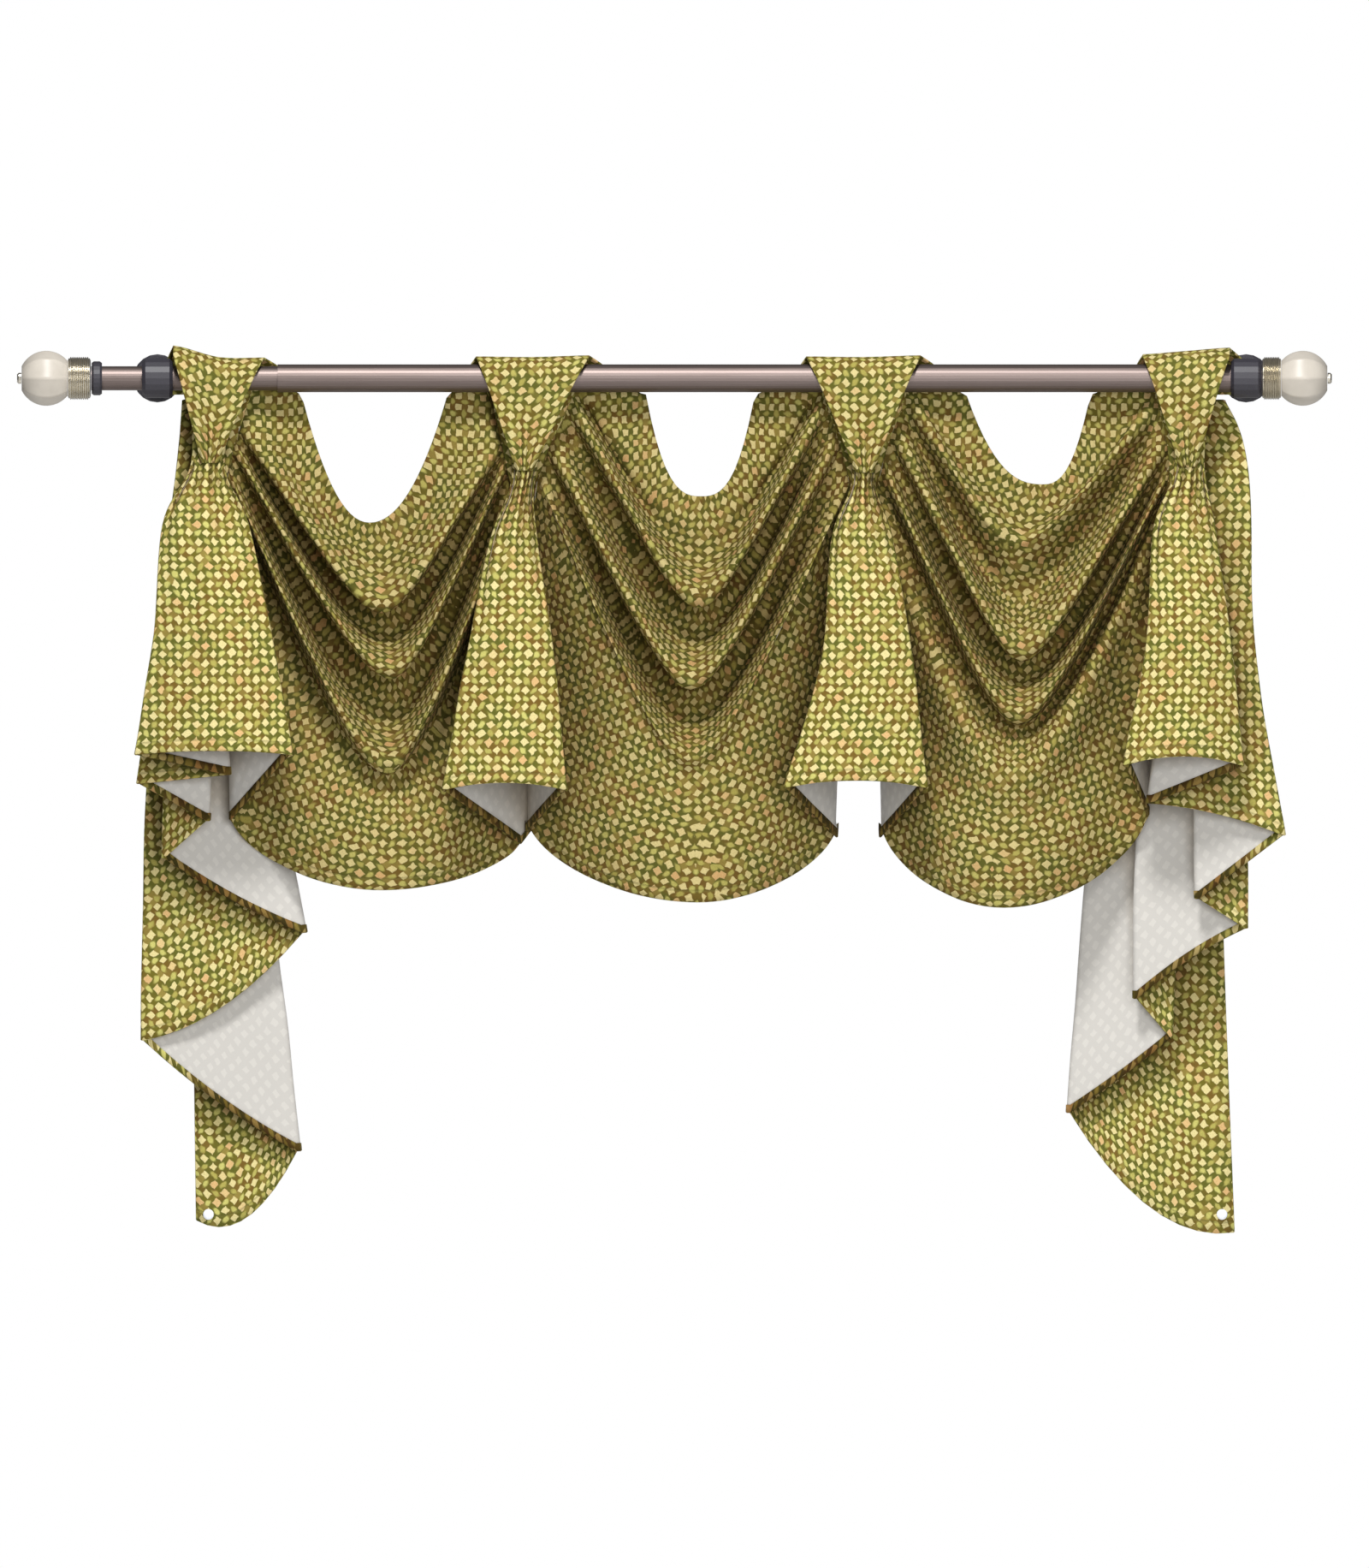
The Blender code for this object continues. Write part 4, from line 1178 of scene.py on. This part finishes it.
def weave_waves(nodes):
    """Waves across the cells both ways, a wave that tells every second oval, and a number of each
    cell's own."""
    uv = nodes.add("ShaderNodeUVMap", uv_map="weave").outputs["UV"]
    moved = uv
    for scale, amount in WOBBLES:
        wobble = nodes.add("ShaderNodeTexNoise", noise_dimensions="2D")
        wobble.inputs["Scale"].default_value = scale
        wobble.inputs["Detail"].default_value = 1.0
        nodes.link(uv, wobble.inputs["Vector"])
        shift = nodes.add("ShaderNodeVectorMath", operation="MULTIPLY_ADD")
        nodes.link(wobble.outputs["Color"], shift.inputs[0])
        shift.inputs[1].default_value = (amount, amount, 0.0)
        nodes.link(moved, shift.inputs[2])
        moved = shift.outputs[0]
    parts = nodes.add("ShaderNodeSeparateXYZ")
    nodes.link(moved, parts.inputs[0])
    waves = []
    slow_waves = []
    for axis in ("X", "Y"):
        waves.append(nodes.math("SINE", nodes.math("MULTIPLY", parts.outputs[axis], math.pi)))
        # Half as fast, so that the product changes its sign from one oval to the next
        turn = nodes.math("MULTIPLY_ADD", parts.outputs[axis], 0.5 * math.pi, -0.75 * math.pi)
        slow_waves.append(nodes.math("COSINE", turn))
    leaning = nodes.math("MULTIPLY", slow_waves[0], slow_waves[1])
    floors = nodes.add("ShaderNodeVectorMath", operation="FLOOR")
    nodes.link(moved, floors.inputs[0])
    white = nodes.add("ShaderNodeTexWhiteNoise", noise_dimensions="2D")
    nodes.link(floors.outputs[0], white.inputs["Vector"])
    return uv, waves[0], waves[1], leaning, white.outputs["Value"]


def squares_mask(nodes, first, second):
    """The squares of every second cell in every second row."""
    return nodes.step(nodes.math("MINIMUM", first, second), *SQUARE_EDGE)


def ovals_mask(nodes, first, second, leaning):
    """The ovals between four squares, stretched one way and the other by turns."""
    masks = []
    for long_way, short_way in ((first, second), (second, first)):
        along_it = nodes.math("MULTIPLY", nodes.math("ADD", 1.0, long_way), OVAL_LONG)
        outside = nodes.math("MULTIPLY_ADD", nodes.math("ADD", 1.0, short_way), OVAL_SHORT, along_it)
        masks.append(nodes.math("SUBTRACT", 1.0, nodes.step(outside, *OVAL_EDGE), clamp=True))
    share = nodes.step(leaning, *LEANING_EDGE)
    kept = nodes.math("MULTIPLY", masks[0], share)
    return nodes.math("MULTIPLY_ADD", masks[1], nodes.math("SUBTRACT", 1.0, share), kept)


def shaded(nodes, colour, deepest, low, high):
    """The colour with painted shade, darker and warmer where the cloth lies deep in its folds: times
    deepest where the open room is low, and full where it is high. Also gives the distance from the hem."""
    hang = nodes.add("ShaderNodeUVMap", uv_map="edge")
    parts = nodes.add("ShaderNodeSeparateXYZ")
    nodes.link(hang.outputs["UV"], parts.inputs[0])
    share = nodes.add("ShaderNodeMapRange")
    nodes.link(parts.outputs["X"], share.inputs["Value"])
    share.inputs["From Min"].default_value = low
    share.inputs["From Max"].default_value = high
    open_share = nodes.math("POWER", share.outputs["Result"], SHADE_POWER)
    tint = nodes.mix(open_share, deepest, WHITE)
    return nodes.mix(1.0, colour, tint, blend="MULTIPLY"), parts.outputs["Y"]


# Colours of the print, and where on its noise, or on the cell's own number, each starts and is full
CREAM = srgb(211, 198, 140)
CREAM_WARM = (srgb(206, 168, 114), 0.72, 1.0)
GREEN = srgb(190, 186, 106)
GREEN_DEEP = (srgb(166, 158, 80), 0.05, 0.9)
OLIVE = srgb(102, 94, 28)
OLIVE_BROWN = (srgb(108, 82, 30), 0.2, 0.75)
OLIVE_AREAS = (srgb(88, 90, 30), 0.4, 0.62)
OLIVE_PALE = (srgb(138, 122, 58), 0.8, 1.0)
SEAM_COLOUR = srgb(96, 92, 44)
THREAD_COLOUR = srgb(110, 100, 42)
THREAD_EDGE = (0.35, 0.75)
THREAD_TINT = 0.25
# Noises over the cells: scale, detail and roughness
AREAS_NOISE = (0.16, 2.0)
THREADS_NOISE = (4.5, 3.0, 0.6)
LINING_NOISE = (14.0, 3.0, 0.6)
# Painted shade: the cloth's colour deep in a fold, and how open the room is there and where the cloth has
# its full colour
PRINT_SHADE = ((0.30, 0.22, 0.12, 1.0), 0.15, 0.97)
LINING_SHADE = ((0.70, 0.60, 0.46, 1.0), 0.0, 0.7)
# The lining's own colour, the print's squares through it and its threads, and how far both show
LINING_COLOUR = srgb(180, 177, 171)
LINING_SQUARES = srgb(194, 191, 184)
LINING_THREAD_COLOUR = srgb(205, 200, 198)
LINING_PRINT = 0.6
LINING_THREADS = 0.12
# Bumps: strength, and height in metres; and how the threads and the seam count beside the cells
PRINT_BUMP = (0.5, 0.0006)
LINING_BUMP = (0.25, 0.0003)
THREAD_RELIEF = 0.5
SEAM_RELIEF = 1.5


def turned_to(nodes, share, colour, other, low, high):
    """The colour, turned to the other one where the share goes from low to high."""
    return nodes.mix(nodes.step(share, low, high), colour, other)


def print_material():
    """Basket check: cream squares and light green ovals by turns, dark olive between them."""
    nodes = Nodes("printed_cloth")
    uv, first, second, leaning, chance = weave_waves(nodes)
    areas = nodes.noise(uv, *AREAS_NOISE, dimensions="2D")
    fine = nodes.noise(uv, *THREADS_NOISE, dimensions="2D")
    cream = turned_to(nodes, chance, CREAM, *CREAM_WARM)
    green = turned_to(nodes, chance, GREEN, *GREEN_DEEP)
    dark = turned_to(nodes, chance, OLIVE, *OLIVE_BROWN)
    dark = turned_to(nodes, areas, dark, *OLIVE_AREAS)
    dark = turned_to(nodes, chance, dark, *OLIVE_PALE)
    ovals = ovals_mask(nodes, first, second, leaning)
    squares = squares_mask(nodes, first, second)
    colour = nodes.mix(ovals, dark, green)
    colour = nodes.mix(squares, colour, cream)
    threads = nodes.math("MULTIPLY", nodes.step(fine, *THREAD_EDGE), THREAD_TINT)
    colour = nodes.mix(threads, colour, THREAD_COLOUR)
    # Painted shade: darker and warmer deep in the folds
    colour, over_hem = shaded(nodes, colour, *PRINT_SHADE)
    beside = nodes.math("ABSOLUTE", nodes.math("SUBTRACT", over_hem, SEAM_AT))
    seam = nodes.math("SUBTRACT", 1.0, nodes.step(beside, *SEAM_EDGE), clamp=True)
    colour = nodes.mix(nodes.math("MULTIPLY", seam, SEAM_TINT), colour, SEAM_COLOUR)
    cells = nodes.math("ADD", ovals, squares)
    height = nodes.math("ADD", cells, nodes.math("MULTIPLY", fine, THREAD_RELIEF))
    height = nodes.math("SUBTRACT", height, nodes.math("MULTIPLY", seam, SEAM_RELIEF))
    normal = nodes.bump(height, *PRINT_BUMP)
    return nodes.finish(colour, normal, Roughness=0.9, Specular_IOR_Level=0.2)


def lining_material():
    """Pale lining with the print's squares faintly lighter through it."""
    nodes = Nodes("lining_cloth")
    uv, first, second, _, _ = weave_waves(nodes)
    dots = squares_mask(nodes, first, second)
    fine = nodes.noise(uv, *LINING_NOISE, dimensions="2D")
    share = nodes.math("MULTIPLY", dots, LINING_PRINT)
    colour = nodes.mix(share, LINING_COLOUR, LINING_SQUARES)
    threads = nodes.math("MULTIPLY", fine, LINING_THREADS)
    colour = nodes.mix(threads, colour, LINING_THREAD_COLOUR)
    # Painted shade: darker and warmer deep in the folds
    colour, _ = shaded(nodes, colour, *LINING_SHADE)
    normal = nodes.bump(fine, *LINING_BUMP)
    return nodes.finish(colour, normal, Roughness=0.85, Sheen_Weight=0.1)


# The rod's lines: scale of the noise along and across it, and how rough it is between and in them
ROD_LINES = (12.0, 900.0, 900.0)
ROD_ROUGHNESS = (0.42, 0.55)


def rod_material():
    """Brushed nickel: fine lines along the rod."""
    nodes = Nodes("rod_metal")
    place = nodes.add("ShaderNodeTexCoord").outputs["Object"]
    stretched = nodes.add("ShaderNodeMapping")
    stretched.inputs["Scale"].default_value = ROD_LINES
    nodes.link(place, stretched.inputs["Vector"])
    lines = nodes.noise(stretched.outputs[0], 1.0, 3.0, 0.6)
    colour = nodes.mix(lines, srgb(98, 86, 82), srgb(130, 118, 114))
    normal = nodes.bump(lines, 0.15, 0.0002)
    rough = nodes.add("ShaderNodeMapRange")
    nodes.link(lines, rough.inputs["Value"])
    rough.inputs["To Min"].default_value, rough.inputs["To Max"].default_value = ROD_ROUGHNESS
    nodes.link(rough.outputs["Result"], nodes.shader.inputs["Roughness"])
    return nodes.finish(colour, normal, Metallic=1.0)


def grained_material(name, scale, detail, darker, lighter, bump=None, **values):
    """A plain finish with a fine grain between two colours; bump is its strength and its depth."""
    nodes = Nodes(name)
    place = nodes.add("ShaderNodeTexCoord").outputs["Object"]
    grain = nodes.noise(place, scale, detail)
    colour = nodes.mix(grain, srgb(*darker), srgb(*lighter))
    normal = nodes.bump(grain, *bump) if bump else None
    return nodes.finish(colour, normal, **values)


def dark_material():
    return grained_material(
        "bracket_paint", 900.0, 2.0, (34, 32, 40), (52, 50, 58), (0.2, 0.0002), Roughness=0.5
    )


def wire_material():
    return grained_material(
        "wire_metal", 400.0, 2.0, (196, 190, 176), (222, 216, 202), Metallic=1.0, Roughness=0.28
    )


def glass_material():
    return grained_material(
        "ball_glass", 60.0, 3.0, (172, 165, 154), (196, 189, 178), (0.05, 0.0005),
        Roughness=0.35, Specular_IOR_Level=0.3,
    )


def pin_material():
    return grained_material("pin_head", 300.0, 2.0, (214, 218, 230), (246, 248, 252), Roughness=0.12)


# Painted shade on the swags, which lie back between the horns: how open the room counts there, and how far
# it counts
SWAG_SKY = 0.58
SWAG_SHADE = 0.6


def make_cloth(printed, plain):
    """The face cloth and its lining, with the materials of their two sides."""
    cloth = whole_cloth()
    normals = cloth_normals(cloth)
    for number, point in enumerate(cloth.points):
        cloth.points[number] = point + normals[number] * ripple(point)
    normals = cloth_normals(cloth)
    heights = hem_heights(cloth)
    room = room_behind(cloth.points, cloth.faces, normals)
    room = fitted_room(cloth.points, cloth.faces, normals, room)
    # The open room in front of the cloth and behind it sets the painted shade of the face and of the lining
    sky = open_sky(cloth.points, cloth.faces, normals, 1.0)
    # Painted shade: the swags' open room is drawn towards SWAG_SKY, which darkens their colour
    for number in cloth.between_horns:
        sky[number] = mix(sky[number], SWAG_SKY, SWAG_SHADE)
    sky_behind = open_sky(cloth.points, cloth.faces, normals, -1.0)
    places = zip(cloth.points, normals, room)
    behind = [point - normal * LINING_FROM * free for point, normal, free in places]
    swag_points = set(cloth.between_horns)
    faces, corners = without_curls(cloth.points, cloth.faces, cloth.corners, swag_points)
    lining = add_mesh("swag_lining", behind, faces, corners, heights, sky_behind, plain)
    thicken(lining, LINING_THICKNESS, room)
    points, faces, corners, new_heights, new_sky = turned_edges(cloth, normals, heights, sky)
    face = add_mesh("swag_face", points, faces, corners, new_heights, new_sky, printed)
    room += [1.0] * (len(points) - len(room))
    thicken(face, FACE_THICKNESS, room)
    return face, lining


TAB_FINE_ACROSS = 48
TAB_FINE_PATH = 64
# Behind the top of the rod, within this share of its path, a tab's sides come to spread and hang
COVER_REACH = 0.08
COVER_SPREAD = {"left": 7.0, "right": 16.0}
COVER_HANG = 6.5
CORNER_POWER = 3
# How its front narrows to the pinch, and its creases: places across with their depths, their width,
# and the share of the way down where they start and over how far they deepen
NARROWING = 0.92
CREASES = ((0.36, 2.4), (0.55, 3.0), (0.7, 1.6))
CREASE_WIDTH = 0.035
CREASES_BEGIN = (0.35, 0.5)
# A tab has no seam and little shade: its distance from a hem, and how open the room before it counts
TAB_OVER_HEM = 30.0
TAB_SKY = 0.86


def cover_point(tab, across, path):
    """A tab's surface, narrower than the solid from the top of the rod down, with its creases."""
    point = tab_point(tab, across, path)
    over = 0.5 * (TAB_OVER_FROM + TAB_OVER_TO)
    side = 2.0 * across - 1.0
    full_x = mix(tab["left"], tab["right"], across)
    if path < over:
        spread = smooth((over - path) / COVER_REACH)
        point.x = full_x + spread * side**CORNER_POWER * COVER_SPREAD["right" if side > 0.0 else "left"]
        lower = COVER_HANG * spread * abs(side) ** CORNER_POWER
        point.z -= lower * max(point.z, 0.0) / TAB_RADIUS
        return point
    narrow = tab["pinch_x"] + side * TAB_PINCH_HALF
    share = max(TAB_RADIUS - point.z, 0.0) / (TAB_RADIUS - tab["pinch_z"])
    point.x = mix(full_x, narrow, share**NARROWING)
    for place, depth in CREASES:
        crease = math.exp(-(((across - place) / CREASE_WIDTH) ** 2))
        point.y += depth * crease * smooth((share - CREASES_BEGIN[0]) / CREASES_BEGIN[1])
    return point


def make_tab(row, material):
    tab = dict(zip(TAB_COLUMNS, row))
    paths = [step / TAB_FINE_PATH for step in range(TAB_FINE_PATH + 1)]
    columns = []
    for step in range(TAB_FINE_ACROSS + 1):
        columns.append([cover_point(tab, step / TAB_FINE_ACROSS, path) for path in paths])
    cloth = Cloth()
    cloth.add(Patch(columns, TAB_FINE_ACROSS // 2, PANEL_OWN_DOWN))
    heights = [TAB_OVER_HEM] * len(cloth.points)
    sky = [TAB_SKY] * len(cloth.points)
    obj = add_mesh(tab["node"] + "_cover", cloth.points, cloth.faces, cloth.corners, heights, sky, material)
    thicken(obj, TAB_THICKNESS)
    return obj


SHARP_ANGLE = 50


def turned(name, rings_at, material):
    """A closed solid about the rod's axis, from the x and the radii of each of its rings."""
    build = bmesh.new()
    rings = []
    for x, radii in rings_at:
        ring = []
        for step, radius in enumerate(radii):
            angle = 2 * math.pi * step / len(radii)
            place = (x, ROD_Y + radius * math.cos(angle), radius * math.sin(angle))
            ring.append(build.verts.new(Vector(place) * MM))
        rings.append(ring)
    for ring, following in zip(rings, rings[1:]):
        for step in range(len(ring)):
            build.faces.new((ring[step], ring[step - 1], following[step - 1], following[step]))
    build.faces.new(rings[0])
    build.faces.new(list(reversed(rings[-1])))
    bmesh.ops.recalc_face_normals(build, faces=build.faces)
    mesh = bpy.data.meshes.new(name)
    build.to_mesh(mesh)
    build.free()
    mesh.materials.append(material)
    mesh.shade_smooth()
    mesh.set_sharp_from_angle(angle=math.radians(SHARP_ANGLE))
    return add_object(mesh)


# Each neck's side, its way outwards, where it starts and its length
NECKS = (("left", -1, -541.3, 21.0), ("right", 1, 526.5, 17.5))
NECK_SIDES = 64
WIRE_TURNS = 11
TURN_RINGS = 8
NECK_RADIUS = 17.0
NECK_SHOULDER = 2.0
SHOULDER_LENGTH = 2.5
GROOVE_DEPTH = 1.3
WIRE_OVER = 0.5
BALL_SIDES = 8
BALL_ROWS = 40
BALL_STEPS = 96


def make_neck(side, outward, start, length, material):
    """A neck wound with wire: rounded turns side by side, smaller at both ends."""
    rings_at = []
    steps = WIRE_TURNS * TURN_RINGS
    for step in range(steps + 1):
        share = step / steps
        end = smooth(min(share, 1.0 - share) * length / SHOULDER_LENGTH)
        groove = GROOVE_DEPTH * (1.0 - abs(math.sin(math.pi * WIRE_TURNS * share)))
        radius = NECK_RADIUS + NECK_SHOULDER * end + WIRE_OVER - groove
        rings_at.append((start + outward * share * length, [radius] * NECK_SIDES))
    return turned("neck_wire_" + side, rings_at, material)


def make_ball(side, outward, start, length, material):
    """A glass ball with soft facets, flattened where the neck and the cap meet it."""
    centre_x = start + outward * (length + SEAT_GAP + math.sqrt(BALL_RADIUS**2 - BALL_NECK_FLAT**2))
    low = -math.acos(BALL_NECK_FLAT / BALL_RADIUS)
    high = math.acos(BALL_CAP_FLAT / BALL_RADIUS)
    rings_at = []
    sector = 2 * math.pi / BALL_SIDES
    for row in range(BALL_ROWS + 1):
        lean = mix(low, high, row / BALL_ROWS)
        radii = []
        for step in range(BALL_STEPS):
            angle = 2 * math.pi * step / BALL_STEPS
            from_flat = abs((angle / sector) % 1.0 - 0.5) * sector
            facet = mix(1.0, math.cos(0.5 * sector) / math.cos(from_flat), math.cos(lean))
            radii.append(BALL_RADIUS * math.cos(lean) * facet)
        rings_at.append((centre_x + outward * math.sin(lean) * BALL_RADIUS, radii))
    return turned("glass_ball_" + side, rings_at, material)


# The picture: metres in one of its pixels, its height, and the row on which the rod's axis lies
PIXEL = 0.00078
PICTURE_HEIGHT = 1832
ROD_ROW = 442
CAMERA_DISTANCE = 3.0


def make_camera():
    data = bpy.data.cameras.new("camera")
    data.type = "ORTHO"
    data.ortho_scale = PICTURE_HEIGHT * PIXEL
    camera = add_object(data)
    camera.location = (0.0, -CAMERA_DISTANCE, (ROD_ROW - PICTURE_HEIGHT // 2) * PIXEL)
    camera.rotation_euler = (math.radians(90), 0.0, 0.0)
    bpy.context.scene.camera = camera


# Lights: name, place, size and power, all aimed at one point
LIGHTS = (
    ("key", (-0.35, -2.9, 3.8), 1.0, 262.0),
    ("front", (0.8, -4.0, 0.3), 2.4, 90.0),
)
LIT_POINT = (0.0, 0.0, -0.35)
# Strength of the plain white surroundings as a light, and as they are seen
WORLD_LIGHT = 0.16
WORLD_SEEN = 1.0
FLOOR_HALF = 2.0
FLOOR_Z = -0.83
FLOOR_COLOUR = (0.85, 0.85, 0.85, 1.0)


def add_light(name, place, size, power):
    data = bpy.data.lights.new(name, "AREA")
    data.shape = "DISK"
    data.size = size
    data.energy = power
    light = add_object(data)
    light.location = place
    light.rotation_euler = (Vector(LIT_POINT) - Vector(place)).to_track_quat("-Z", "Y").to_euler()


def make_studio():
    world = bpy.data.worlds.new("studio")
    world.use_nodes = True
    tree = world.node_tree
    back = tree.nodes["Background"]
    back.inputs["Color"].default_value = WHITE
    seen = tree.nodes.new("ShaderNodeLightPath")
    strength = tree.nodes.new("ShaderNodeMapRange")
    strength.inputs["To Min"].default_value = WORLD_LIGHT
    strength.inputs["To Max"].default_value = WORLD_SEEN
    tree.links.new(seen.outputs["Is Camera Ray"], strength.inputs["Value"])
    tree.links.new(strength.outputs["Result"], back.inputs["Strength"])
    bpy.context.scene.world = world
    bpy.context.scene.view_settings.view_transform = "Standard"
    for light in LIGHTS:
        add_light(*light)
    build = bmesh.new()
    bmesh.ops.create_grid(build, x_segments=1, y_segments=1, size=FLOOR_HALF)
    mesh = bpy.data.meshes.new("floor")
    build.to_mesh(mesh)
    build.free()
    nodes = Nodes("floor_paint")
    mesh.materials.append(nodes.finish(None, None, Roughness=0.8, Base_Color=FLOOR_COLOUR))
    floor = add_object(mesh)
    floor.location = (0.0, 0.0, FLOOR_Z)


def main():
    make_camera()
    make_studio()
    printed, plain = print_material(), lining_material()
    rod, dark, wire = rod_material(), dark_material(), wire_material()
    glass, pin = glass_material(), pin_material()
    face, lining = make_cloth(printed, plain)
    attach(face, "root")
    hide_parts("face_cloth")
    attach(lining, "root")
    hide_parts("lining")
    for row in TABS:
        tab = make_tab(row, printed)
        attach(tab, "root")
        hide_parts(row[0])
    for side, outward, start, length in NECKS:
        neck = make_neck(side, outward, start, length, wire)
        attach(neck, "root")
        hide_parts("neck_" + side)
        ball = make_ball(side, outward, start, length, glass)
        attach(ball, "root")
        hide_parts("ball_" + side)
    finishes = {
        "rod_wide_tube": rod, "rod_narrow_tube": rod, "bracket_left": dark, "bracket_right": dark,
        "neck_ring_left": dark, "end_cap_left": wire, "end_cap_right": wire,
        "pin_left": pin, "pin_right": pin,
    }
    for node, material in finishes.items():
        obj = bpy.data.objects[node]
        obj.data.materials.clear()
        obj.data.materials.append(material)


main()
